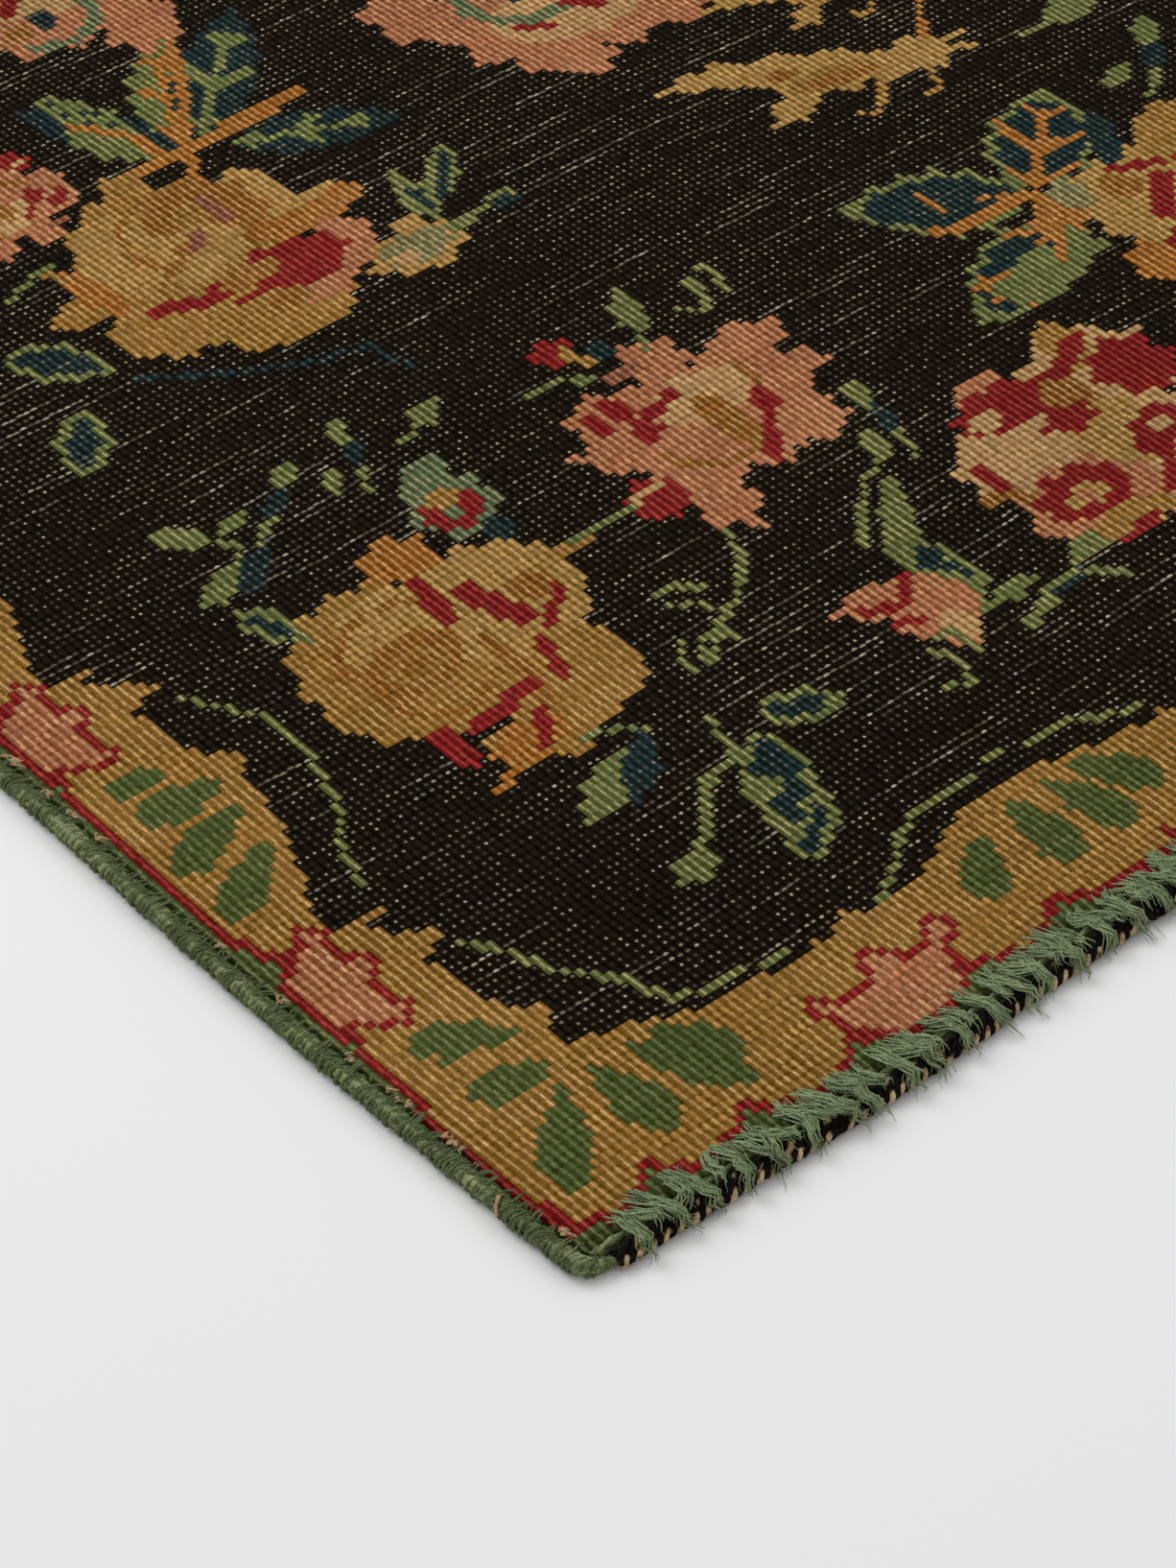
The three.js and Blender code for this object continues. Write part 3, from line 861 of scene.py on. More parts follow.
def knotGroup():
    # the knots of the pile: their tone, the worn warps that show through, painted shade in their corners, and
    # the relief within each knot
    group, given, result = newGroup(
        "knotted pile",
        [
            ("Chart", "Vector", None),
            ("Yarn", "Color", (0.5, 0.5, 0.5, 1)),
            ("Warp", "Color", (0.5, 0.4, 0.3, 1)),
            ("Bare", "Color", (0.5, 0.5, 0.4, 1)),
            ("Wear", "Float", 0.5),
        ],
        [("Color", "Color"), ("Height", "Float")],
    )
    wire = Wiring(group)
    place, yarnColour, warp, bare, wear = (given.outputs[i] for i in range(5))
    across, along, _ = wire.node("ShaderNodeSeparateXYZ", {0: place}).outputs
    column, row = wire.math("FLOOR", across), wire.math("FLOOR", along)
    inColumn, inRow = wire.math("FRACT", across), wire.math("FRACT", along)
    knot = wire.node("ShaderNodeCombineXYZ", {0: column, 1: row}).outputs[0]
    random = wire.node("ShaderNodeTexWhiteNoise", {"Vector": knot}, noise_dimensions="2D")
    perKnot = random.outputs[0]
    shiftA, shiftB, shiftC = wire.node("ShaderNodeSeparateXYZ", {0: random.outputs[1]}).outputs
    threes = wire.math("DIVIDE", wire.math("ADD", across, wire.math("MULTIPLY", row, 1.7)), 3.0)
    longKnot = wire.node("ShaderNodeCombineXYZ", {0: wire.math("FLOOR", threes), 1: row}).outputs[0]
    perThree = wire.node("ShaderNodeTexWhiteNoise", {"Vector": longKnot}, noise_dimensions="2D").outputs[0]

    # wear runs in streaks along the wefts, within patches
    streak = wire.noise(wire.scaled(place, (0.045, 0.5, 1)), 1.0, 2.0)
    patch = wire.noise(wire.scaled(place, (0.03, 0.034, 1)), 1.0, 2.0)
    worn = wire.math("ADD", streak, wire.math("MULTIPLY", patch, 0.3))
    worn = wire.math("ADD", wire.math("SUBTRACT", worn, 0.79), wire.math("MULTIPLY", wear, 0.3))
    bared = wire.ramp(worn, -0.2, 0.14)
    threadbare = wire.ramp(worn, 0.03, 0.22)

    # distance from the crest of the rib and from the middle of the knot
    offset = wire.math("MULTIPLY", wire.math("SUBTRACT", shiftA, 0.5), 0.2)
    fromCrest = wire.math("ABSOLUTE", wire.math("ADD", wire.math("SUBTRACT", inColumn, 0.5), offset))
    offset = wire.math("MULTIPLY", wire.math("SUBTRACT", shiftB, 0.5), 0.2)
    fromMiddle = wire.math("ABSOLUTE", wire.math("ADD", wire.math("SUBTRACT", inRow, 0.5), offset))
    brightness = wire.node("ShaderNodeRGBToBW", {0: yarnColour}).outputs[0]
    dark = wire.ramp(brightness, 0.008, 0.03, 1.0, 0.0)
    middling = wire.ramp(brightness, 0.06, 0.12, 0.22, 1.0)

    # on dark yarn a small round dot to a knot, drawn out across where threadbare
    wideDot = wire.math("ADD", wire.math("MULTIPLY", threadbare, 0.34), 0.18)
    dotX = wire.math("DIVIDE", fromCrest, wideDot)
    dotY = wire.math("DIVIDE", fromMiddle, 0.18)
    dot = wire.ramp(wire.distance(dotX, dotY), 0.55, 1.2, 1.0, 0.0)
    chance = wire.math("ADD", wire.math("MULTIPLY", bared, 0.8), 0.4)
    shows = wire.ramp(wire.math("SUBTRACT", chance, perKnot), -0.1, 0.35)
    strength = wire.math("ADD", wire.math("MULTIPLY", wire.math("POWER", shiftC, 3.0), 0.6), 0.1)
    dotShare = wire.math("MULTIPLY", wire.math("MULTIPLY", dot, shows), strength)
    dash = wire.math("MULTIPLY", wire.ramp(fromMiddle, 0.06, 0.22, 1.0, 0.0), wire.ramp(perThree, 0.86, 0.97))
    dash = wire.math("MULTIPLY", dash, wire.ramp(fromCrest, 0.2, 0.45, 1.0, 0.2))
    dash = wire.math("MULTIPLY", dash, wire.math("MULTIPLY", threadbare, 0.5))
    dotShare = wire.math("MAXIMUM", dotShare, dash)

    # on light yarn a fine pale line along the crest, and in places a fainter one between the rows
    cloudy = wire.noise(wire.scaled(place, (0.05, 0.05, 1), (9, 4, 0)), 1.0, 2.0)
    lineAcross = wire.ramp(fromCrest, 0.03, 0.19, 1.0, 0.0)
    lineAcross = wire.math("MULTIPLY", lineAcross, wire.ramp(fromMiddle, 0.2, 0.5, 1.0, 0.7))
    faint = wire.ramp(cloudy, 0.48, 0.68, 0.0, 0.3)
    betweenRows = wire.math("MULTIPLY", wire.ramp(fromMiddle, 0.34, 0.46), faint)
    lines = wire.math("MAXIMUM", lineAcross, betweenRows)
    lineShare = wire.math("MULTIPLY", lines, wire.math("ADD", wire.math("MULTIPLY", shiftC, 0.4), 0.32))
    lineShare = wire.math("MULTIPLY", lineShare, wire.math("ADD", wire.math("MULTIPLY", bared, 0.6), 0.5))
    lineShare = wire.math("MULTIPLY", lineShare, middling)
    share = wire.node("ShaderNodeMix", {0: dark, 2: lineShare, 3: dotShare}, data_type="FLOAT").outputs[0]

    # painted shade in the dimples at the corners of each knot, warmer than grey and deeper on dark yarn, and
    # uneven dyeing along the rows
    dimpleShade = wire.ramp(wire.distance(wire.math("MULTIPLY", fromCrest, 1.25), fromMiddle), 0.34, 0.68)
    dyeing = wire.noise(wire.scaled(place, (0.012, 0.13, 1)), 1.0, 2.0)
    tone = wire.math("ADD", wire.math("MULTIPLY", perKnot, 0.3), wire.math("MULTIPLY", dyeing, 0.5))
    tone = wire.math("ADD", wire.math("ADD", tone, wire.math("MULTIPLY", cloudy, 0.4)), 0.41)
    depth = wire.math("ADD", wire.math("MULTIPLY", shiftA, 0.5), 0.26)
    depth = wire.math("MULTIPLY", dimpleShade, wire.math("ADD", depth, wire.math("MULTIPLY", dark, 0.3)))
    # the painted shade darkens the knot's corners, the blue a little more than the rest
    tone = wire.math("MULTIPLY", tone, wire.math("SUBTRACT", 1.0, depth))
    less = wire.math("MULTIPLY", tone, wire.math("SUBTRACT", 1.0, wire.math("MULTIPLY", depth, 0.9)))
    shade = wire.node("ShaderNodeCombineXYZ", {0: tone, 1: tone, 2: less}).outputs[0]
    toned = wire.mix(1.0, yarnColour, shade, "MULTIPLY")
    wire.feed(result.inputs[0], wire.mix(share, toned, wire.mix(dark, warp, bare)))

    # each knot is a low bead, a little uneven in height
    bead = wire.ramp(fromCrest, 0.1, 0.5, 1.0, 0.0)
    bead = wire.math("MULTIPLY", bead, wire.ramp(fromMiddle, 0.2, 0.5, 1.0, 0.5))
    wire.feed(result.inputs[1], wire.math("ADD", bead, wire.math("MULTIPLY", perKnot, 0.5)))
    return group


softSurface = {"sheenRoughness": 0.45, "specular": 0.03}


def newMaterial(name, roughness, sheen):
    made = bpy.data.materials.new(name)
    made.use_nodes = True
    made.node_tree.nodes.clear()
    wire = Wiring(made.node_tree)
    surface = wire.node("ShaderNodeBsdfPrincipled", {"Roughness": roughness, "Sheen Weight": sheen})
    surface.inputs["Sheen Roughness"].default_value = softSurface["sheenRoughness"]
    surface.inputs["Specular IOR Level"].default_value = softSurface["specular"]
    wire.node("ShaderNodeOutputMaterial", {"Surface": surface.outputs[0]})
    return made, wire, surface


def rgba(name):
    return (*linear(yarn[name] if isinstance(name, str) else name), 1)


fuzz = fuzzGroup()
knotted = knotGroup()

pileFinish = {
    "roughness": 0.95,
    "sheen": 0.0,
    "wear": 0.5,
    "warp": (214, 182, 134),  # what shows through light yarn
    "bare": (204, 190, 162),  # what shows through dark yarn
    "fibres": 1400.0,  # scale of the wool's fuzz
    "bump": 0.7,
    "bumpDepth": 0.0006,
}
yarnFinish = {
    "roughness": 0.95,
    "sheen": 0.03,
    "fibres": 1500.0,
    "twist": 5200.0,  # radians of twist to a metre of yarn
    "twistAround": 12.566,  # radians of it once round the yarn
    "clumps": 260.0,
    "bump": 0.6,
    "bumpDepth": 0.0004,
}


def pileMaterial():
    made, wire, surface = newMaterial("worn wool pile", pileFinish["roughness"], pileFinish["sheen"])
    chartMap = wire.node("ShaderNodeUVMap", uv_map="knots").outputs[0]
    yarnColour = wire.node("ShaderNodeVertexColor", layer_name="yarn").outputs[0]
    knots = wire.node("ShaderNodeGroup", node_tree=knotted)
    wire.feed(knots.inputs["Chart"], chartMap)
    wire.feed(knots.inputs["Yarn"], yarnColour)
    wire.feed(knots.inputs["Warp"], rgba(pileFinish["warp"]))
    wire.feed(knots.inputs["Bare"], rgba(pileFinish["bare"]))
    wire.feed(knots.inputs["Wear"], pileFinish["wear"])
    place = wire.node("ShaderNodeTexCoord").outputs["Object"]
    fibres = wire.node("ShaderNodeGroup", node_tree=fuzz)
    wire.feed(fibres.inputs["Vector"], place)
    wire.feed(fibres.inputs["Fibre scale"], pileFinish["fibres"])
    shade = wire.math("ADD", wire.math("MULTIPLY", fibres.outputs["Shade"], 0.5), 0.75)
    grey = wire.node("ShaderNodeCombineXYZ", {0: shade, 1: shade, 2: shade}).outputs[0]
    wire.feed(surface.inputs["Base Color"], wire.mix(1.0, knots.outputs["Color"], grey, "MULTIPLY"))
    height = wire.math("ADD", knots.outputs["Height"], wire.math("MULTIPLY", fibres.outputs["Height"], 0.5))
    relief = {"Strength": pileFinish["bump"], "Distance": pileFinish["bumpDepth"], "Height": height}
    bump = wire.node("ShaderNodeBump", relief)
    wire.feed(surface.inputs["Normal"], bump.outputs[0])
    return made


def yarnMaterial(name, main, other, share, grain=45.0):
    # loose yarn: two colours mixed by the strand's own number and by patches of a grain, with fibres along it
    # and painted shade in the grooves of its twist
    made, wire, surface = newMaterial(name, yarnFinish["roughness"], yarnFinish["sheen"])
    place = wire.node("ShaderNodeTexCoord").outputs["Object"]
    number = wire.node("ShaderNodeAttribute", attribute_name="ply").outputs["Fac"]
    lengthwise = wire.node("ShaderNodeAttribute", attribute_name="lengthwise").outputs["Fac"]
    around = wire.node("ShaderNodeAttribute", attribute_name="around").outputs["Fac"]
    patches = wire.noise(place, grain, 2.0)
    second = wire.math("MULTIPLY", number, wire.ramp(patches, share[0], share[1]))
    colour = wire.mix(second, rgba(main), rgba(other))
    fibres = wire.node("ShaderNodeGroup", node_tree=fuzz)
    wire.feed(fibres.inputs["Vector"], place)
    wire.feed(fibres.inputs["Fibre scale"], yarnFinish["fibres"])
    turns = wire.math("MULTIPLY", lengthwise, yarnFinish["twist"])
    turns = wire.math("ADD", turns, wire.math("MULTIPLY", around, yarnFinish["twistAround"]))
    twist = wire.math("ADD", wire.math("MULTIPLY", wire.math("SINE", turns), 0.5), 0.5)
    clumps = wire.noise(place, yarnFinish["clumps"], 2.0)
    # the twist's grooves get painted shade, while fibres, patches and clumps vary the tone
    shade = wire.math("MULTIPLY", fibres.outputs["Shade"], 0.4)
    shade = wire.math("ADD", shade, wire.math("MULTIPLY", twist, 0.15))
    shade = wire.math("ADD", shade, wire.math("MULTIPLY", patches, 0.4))
    shade = wire.math("ADD", wire.math("ADD", shade, wire.math("MULTIPLY", clumps, 0.7)), 0.18)
    grey = wire.node("ShaderNodeCombineXYZ", {0: shade, 1: shade, 2: shade}).outputs[0]
    wire.feed(surface.inputs["Base Color"], wire.mix(1.0, colour, grey, "MULTIPLY"))
    height = wire.math("ADD", fibres.outputs["Height"], wire.math("MULTIPLY", twist, 0.5))
    relief = {"Strength": yarnFinish["bump"], "Distance": yarnFinish["bumpDepth"], "Height": height}
    bump = wire.node("ShaderNodeBump", relief)
    wire.feed(surface.inputs["Normal"], bump.outputs[0])
    return made


# Geometry nodes
strayFibre = {
    "astray": ((-1, -1, -0.6), (1, 1, 1)),
    "outward": 0.5,  # share of the surface's own way in a fibre's way
    "size": (0.5, 1.3),
    "waveScale": 700.0,
    "waver": 0.0003,
}
leastHigh = 0.00015  # m above the floor that every strand keeps


class Growing(Wiring):
    # the same short hands for a geometry tree, with named inputs
    def __init__(self, name, inputs):
        super().__init__(bpy.data.node_groups.new(name, "GeometryNodeTree"))
        face = self.tree.interface
        face.new_socket("Geometry", in_out="INPUT", socket_type="NodeSocketGeometry")
        for label, kind, value in inputs:
            socket = face.new_socket(label, in_out="INPUT", socket_type=f"NodeSocket{kind}")
            if value is not None:
                socket.default_value = value
        face.new_socket("Geometry", in_out="OUTPUT", socket_type="NodeSocketGeometry")
        given = self.tree.nodes.new("NodeGroupInput")
        self.given = {socket.name: socket for socket in given.outputs if socket.name}

    def vector(self, operation, a, b=(0, 0, 0), scale=1.0):
        made = self.node("ShaderNodeVectorMath", operation=operation)
        self.feed(made.inputs[0], a)
        if operation == "SCALE":
            self.feed(made.inputs["Scale"], scale)
        else:
            self.feed(made.inputs[1], b)
        return made.outputs["Vector"]

    def read(self, name, kind="FLOAT"):
        return self.node("GeometryNodeInputNamedAttribute", {"Name": name}, data_type=kind).outputs[0]

    def keep(self, geometry, name, value, domain="POINT", kind="FLOAT"):
        made = self.node("GeometryNodeStoreNamedAttribute", data_type=kind, domain=domain)
        self.feed(made.inputs["Geometry"], geometry)
        self.feed(made.inputs["Name"], name)
        self.feed(made.inputs["Value"], value)
        return made.outputs[0]

    def random(self, low, high, number, seed, kind="FLOAT"):
        made = self.node("FunctionNodeRandomValue", data_type=kind)
        at = 0 if kind == "FLOAT_VECTOR" else 2
        self.feed(made.inputs[at], low)
        self.feed(made.inputs[at + 1], high)
        self.feed(made.inputs["ID"], number)
        self.feed(made.inputs["Seed"], seed)
        return made.outputs[0 if kind == "FLOAT_VECTOR" else 1]

    def moved(self, geometry, offset):
        return self.node("GeometryNodeSetPosition", {"Geometry": geometry, "Offset": offset}).outputs[0]

    def wavy(self, geometry, scale, reach, shift=None):
        # pushes points about by smooth noise
        at = self.node("GeometryNodeInputPosition").outputs[0]
        at = self.vector("ADD", at, shift) if shift is not None else at
        wave = self.node("ShaderNodeTexNoise", {"Vector": at, "Scale": scale, "Detail": 1.0}).outputs["Color"]
        wave = self.vector("SUBTRACT", wave, (0.5, 0.5, 0.5))
        return self.moved(geometry, self.vector("SCALE", wave, scale=self.math("MULTIPLY", reach, 4.0)))

    def tube(self, curve, radius, sides):
        curve = self.node("GeometryNodeSetCurveRadius", {"Curve": curve, "Radius": radius}).outputs[0]
        curve = self.keep(curve, "lengthwise", self.node("GeometryNodeSplineParameter").outputs["Length"])
        circle = {"Resolution": sides, "Radius": 1.0}
        profile = self.node("GeometryNodeCurvePrimitiveCircle", circle).outputs[0]
        profile = self.keep(profile, "around", self.node("GeometryNodeSplineParameter").outputs["Factor"])
        scale = self.node("GeometryNodeInputRadius").outputs[0]
        values = {"Curve": curve, "Profile Curve": profile, "Scale": scale, "Fill Caps": True}
        return self.node("GeometryNodeCurveToMesh", values).outputs[0]

    def resampled(self, curve, step):
        values = {"Curve": curve, "Length": step}
        return self.node("GeometryNodeResampleCurve", values, mode="LENGTH").outputs[0]

    def haired(self, geometry):
        # short stray fibres over a surface, as bent three-sided spikes
        density, length, seed = self.given["Hairs"], self.given["Hair length"], self.given["Seed"]
        values = {"Mesh": geometry, "Density": density, "Seed": seed}
        spots = self.node("GeometryNodeDistributePointsOnFaces", values)
        spike = self.node("GeometryNodeMeshCone", {
            "Vertices": 3, "Side Segments": 2, "Radius Top": 0.0, "Radius Bottom": self.given["Hair thick"],
            "Depth": length,
        }, fill_type="NGON").outputs[0]
        index = self.node("GeometryNodeInputIndex").outputs[0]
        astray = self.random(*strayFibre["astray"], index, seed, "FLOAT_VECTOR")
        outward = self.vector("SCALE", spots.outputs["Normal"], scale=strayFibre["outward"])
        way = self.vector("ADD", outward, astray)
        turned = self.node("FunctionNodeAlignRotationToVector", {"Vector": way}, axis="Z").outputs[0]
        size = self.random(*strayFibre["size"], index, seed)
        values = {"Points": spots.outputs[0], "Instance": spike, "Rotation": turned, "Scale": size}
        hairs = self.node("GeometryNodeInstanceOnPoints", values).outputs[0]
        pale = self.math("LESS_THAN", self.random(0.0, 1.0, index, 5), self.given["Pale hairs"])
        hairs = self.keep(hairs, "ply", pale, "INSTANCE")
        hairs = self.node("GeometryNodeRealizeInstances", {"Geometry": hairs}).outputs[0]
        hairs = self.wavy(hairs, strayFibre["waveScale"], strayFibre["waver"])
        joined = self.node("GeometryNodeJoinGeometry")
        self.tree.links.new(hairs, joined.inputs[0])
        self.tree.links.new(geometry, joined.inputs[0])
        return joined.outputs[0]

    def finish(self, geometry):
        # realize, keep above the floor, and give the material
        solid = self.node("GeometryNodeRealizeInstances", {"Geometry": geometry}).outputs[0]
        at = self.node("GeometryNodeInputPosition").outputs[0]
        x, y, z = self.node("ShaderNodeSeparateXYZ", {0: at}).outputs
        above = self.math("MAXIMUM", z, leastHigh)
        resting = self.node("ShaderNodeCombineXYZ", {0: x, 1: y, 2: above}).outputs[0]
        placed = self.node("GeometryNodeSetPosition", {"Geometry": solid, "Position": resting}).outputs[0]
        smooth = self.node("GeometryNodeSetShadeSmooth", {"Geometry": placed}).outputs[0]
        done = self.node("GeometryNodeSetMaterial", {"Geometry": smooth, "Material": self.given["Material"]})
        output = self.tree.nodes.new("NodeGroupOutput")
        self.tree.links.new(done.outputs[0], output.inputs[0])
        return self.tree


# What every yarn tree takes for its stray fibres: number a square metre, size and share in beige
hairSockets = [
    ("Hairs", "Float", 0.0),
    ("Hair length", "Float", 0.002),
    ("Hair thick", "Float", 0.00012),
    ("Pale hairs", "Float", 0.0),
    ("Seed", "Int", 1),
    ("Material", "Material", None),
]


def grow(name, base, tree, values):
    # runs a tree on a base mesh and keeps the result as a plain mesh object
    piece = bpy.data.objects.new(name, base)
    bpy.context.scene.collection.objects.link(piece)
    modifier = piece.modifiers.new("grow", "NODES")
    modifier.node_group = tree
    sockets = {item.name: item.identifier for item in tree.interface.items_tree if item.in_out == "INPUT"}
    for label, value in values.items():
        modifier[sockets[label]] = value
    evaluated = piece.evaluated_get(bpy.context.evaluated_depsgraph_get())
    grown = bpy.data.meshes.new_from_object(evaluated)
    piece.modifiers.remove(modifier)
    piece.data = grown
    grown.name = name
    print(name, len(grown.polygons), "faces")
    return piece


def polylines(name, lines):
    # a mesh of open lines, with the share of each line's length and the size at its points
    mesh = bpy.data.meshes.new(name)
    points, edges, shares, sizes = [], [], [], []
    for line in lines:
        first = len(points)
        points += [tuple(c * mm for c in point[:3]) for point in line]
        sizes += [point[3] if len(point) > 3 else 1.0 for point in line]
        edges += [(first + i, first + i + 1) for i in range(len(line) - 1)]
        shares += [i / (len(line) - 1) for i in range(len(line))]
    mesh.from_pydata(points, edges, [])
    mesh.attributes.new("share", "FLOAT", "POINT").data.foreach_set("value", shares)
    mesh.attributes.new("size", "FLOAT", "POINT").data.foreach_set("value", sizes)
    return mesh


def strandTree():
    # bundles of loose strands along lines: drawn together in the middle, crossing and frayed at both ends
    g = Growing("frayed strands", [
        ("Strands", "Int", 12),
        ("Bundle", "Float", 0.0012),
        ("Fray", "Float", 0.003),
        ("Cross", "Float", 0.002),
        ("Thick", "Float", 0.0004),
        ("Waver", "Float", 0.0006),
        ("Sides", "Int", 3),
        ("Trim", "Float", 0.0),
        *hairSockets,
    ])
    curves = g.node("GeometryNodeMeshToCurve", {"Mesh": g.given["Geometry"]}).outputs[0]
    values = {"Geometry": curves, "Amount": g.given["Strands"]}
    made = g.node("GeometryNodeDuplicateElements", values, domain="SPLINE").outputs[0]
    # a number and a way aside for each strand, the same at all its points
    index = g.node("GeometryNodeInputIndex").outputs[0]
    made = g.keep(made, "strand", g.random(0.0, 1.0, index, g.given["Seed"]), "CURVE")
    aside = g.random((-1, -1, -1), (1, 1, 1), index, g.given["Seed"], "FLOAT_VECTOR")
    made = g.keep(made, "aside", aside, "CURVE", "FLOAT_VECTOR")
    # the strands are not all equally long
    cut = g.math("MULTIPLY", g.random(0.0, 1.0, index, 9), g.given["Trim"])
    made = g.node("GeometryNodeTrimCurve", {"Curve": made, "End": g.math("SUBTRACT", 1.0, cut)}).outputs[0]
    share, strand = g.read("share"), g.read("strand")
    aside = g.read("aside", "FLOAT_VECTOR")
    tail = g.node("ShaderNodeMapRange", {"Value": share, "From Min": 0.6, "From Max": 1.0}).outputs[0]
    head = g.node("ShaderNodeMapRange", {"Value": share, "From Min": 0.3, "From Max": 0.0}).outputs[0]
    ends = g.math("ADD", g.math("POWER", tail, 1.6), g.math("MULTIPLY", head, 0.6))
    reach = g.math("ADD", g.given["Bundle"], g.math("MULTIPLY", ends, g.given["Fray"]))
    flat = g.vector("MULTIPLY", g.vector("SCALE", aside, scale=reach), (1.0, 1.0, 0.3))
    crossing = g.math("MULTIPLY", g.math("SUBTRACT", share, 0.45), g.math("SUBTRACT", strand, 0.5))
    crossing = g.math("MULTIPLY", crossing, g.math("MULTIPLY", g.given["Cross"], 4.0))
    slanted = g.node("ShaderNodeCombineXYZ", {0: crossing}).outputs[0]
    made = g.moved(made, g.vector("ADD", flat, slanted))
    made = g.wavy(made, 260.0, g.given["Waver"], g.vector("SCALE", aside, scale=2.0))
    values = {"Value": share, "From Min": 0.7, "From Max": 1.0, "To Min": 1.0, "To Max": 0.3}
    thin = g.node("ShaderNodeMapRange", values).outputs[0]
    radius = g.math("MULTIPLY", g.math("MULTIPLY", g.given["Thick"], thin), g.math("ADD", strand, 0.6))
    made = g.keep(made, "ply", g.math("LESS_THAN", g.read("strand"), 0.12))
    return g.finish(g.haired(g.tube(made, radius, g.given["Sides"])))


def plyTree():
    # plies that wind round one line
    g = Growing("wound plies", [
        ("Plies", "Int", 2), ("Orbit", "Float", 0.002), ("Lay", "Float", 0.018), ("Thick", "Float", 0.002),
        ("Step", "Float", 0.0015), ("Uneven", "Float", 0.0005), ("Sides", "Int", 6), *hairSockets,
    ])
    curves = g.node("GeometryNodeMeshToCurve", {"Mesh": g.given["Geometry"]}).outputs[0]
    resampled = g.resampled(curves, g.given["Step"])
    values = {"Geometry": resampled, "Amount": g.given["Plies"]}
    copies = g.node("GeometryNodeDuplicateElements", values, domain="SPLINE")
    made = g.keep(copies.outputs[0], "copy", copies.outputs[1], "CURVE", "INT")
    copy = g.read("copy", "INT")
    length = g.node("GeometryNodeSplineParameter").outputs["Length"]
    turn = g.math("ADD", g.math("DIVIDE", length, g.given["Lay"]), g.math("DIVIDE", copy, g.given["Plies"]))
    at = g.node("GeometryNodeInputPosition").outputs[0]
    drift = g.node("ShaderNodeTexNoise", {"Vector": at, "Scale": 60.0}).outputs[0]
    turn = g.math("ADD", turn, g.math("MULTIPLY", drift, 1.2))
    angle = g.math("MULTIPLY", turn, 2 * math.pi)
    tangent = g.node("GeometryNodeInputTangent").outputs[0]
    sideways = g.vector("CROSS_PRODUCT", tangent, (0.0, 0.0, 1.0))
    orbit = g.math("MULTIPLY", g.given["Orbit"], g.read("size"))
    out = g.vector("SCALE", sideways, scale=g.math("MULTIPLY", g.math("COSINE", angle), orbit))
    rise = g.vector("SCALE", (0.0, 0.0, 0.8), scale=g.math("MULTIPLY", g.math("SINE", angle), orbit))
    made = g.moved(made, g.vector("ADD", out, rise))
    made = g.wavy(made, 190.0, g.given["Uneven"])
    grain = g.node("ShaderNodeTexNoise", {"Vector": at, "Scale": 330.0, "Detail": 1.0}).outputs[0]
    radius = g.math("MULTIPLY", g.given["Thick"], g.math("ADD", g.math("MULTIPLY", grain, 0.9), 0.5))
    radius = g.math("MULTIPLY", radius, g.read("size"))
    made = g.keep(made, "ply", g.math("LESS_THAN", g.read("copy", "INT"), 0.5))
    return g.finish(g.haired(g.tube(made, radius, g.given["Sides"])))


def wrapTree():
    # yarn wrapped round a roll: slanted oval turns, close together
    g = Growing("overcast wraps", [
        ("Pitch", "Float", 0.0021),
        ("Wide", "Float", 0.0035),
        ("High", "Float", 0.003),
        ("Slant", "Float", 0.35),
        ("Thick", "Float", 0.0012),
        ("Uneven", "Float", 0.0005),
        ("Segments", "Int", 10),
        ("Sides", "Int", 4),
        *hairSockets,
    ])
    curves = g.node("GeometryNodeMeshToCurve", {"Mesh": g.given["Geometry"]}).outputs[0]
    resampled = g.resampled(curves, g.given["Pitch"])
    spots = g.node("GeometryNodeCurveToPoints", {"Curve": resampled}, mode="EVALUATED")
    circle = {"Resolution": g.given["Segments"], "Radius": 1.0}
    turn = g.node("GeometryNodeCurvePrimitiveCircle", circle).outputs[0]
    oval = g.node("ShaderNodeCombineXYZ", {0: g.given["Wide"], 1: g.given["High"], 2: 1.0}).outputs[0]
    turn = g.node("GeometryNodeTransform", {"Geometry": turn, "Scale": oval}).outputs[0]
    wrap = g.tube(turn, g.given["Thick"], g.given["Sides"])
    index = g.node("GeometryNodeInputIndex").outputs[0]
    leaning = g.random(0.2, 1.8, index, g.given["Seed"])
    size = g.random(0.9, 1.06, index, g.math("ADD", g.given["Seed"], 7.0))
    size = g.math("MULTIPLY", size, g.read("size"))
    way = g.node("FunctionNodeAlignRotationToVector", {"Vector": spots.outputs["Tangent"]}, axis="Z")
    lean = g.node("ShaderNodeCombineXYZ", {1: g.math("MULTIPLY", g.given["Slant"], leaning)}).outputs[0]
    tilt = g.node("FunctionNodeEulerToRotation", {0: lean}).outputs[0]
    values = {0: way.outputs[0], 1: tilt}
    turned = g.node("FunctionNodeRotateRotation", values, rotation_space="LOCAL").outputs[0]
    values = {"Points": spots.outputs[0], "Instance": wrap, "Rotation": turned, "Scale": size}
    many = g.node("GeometryNodeInstanceOnPoints", values).outputs[0]
    many = g.keep(many, "ply", 0.0, "INSTANCE")
    solid = g.node("GeometryNodeRealizeInstances", {"Geometry": many}).outputs[0]
    solid = g.wavy(solid, 420.0, g.given["Uneven"])
    return g.finish(g.haired(solid))


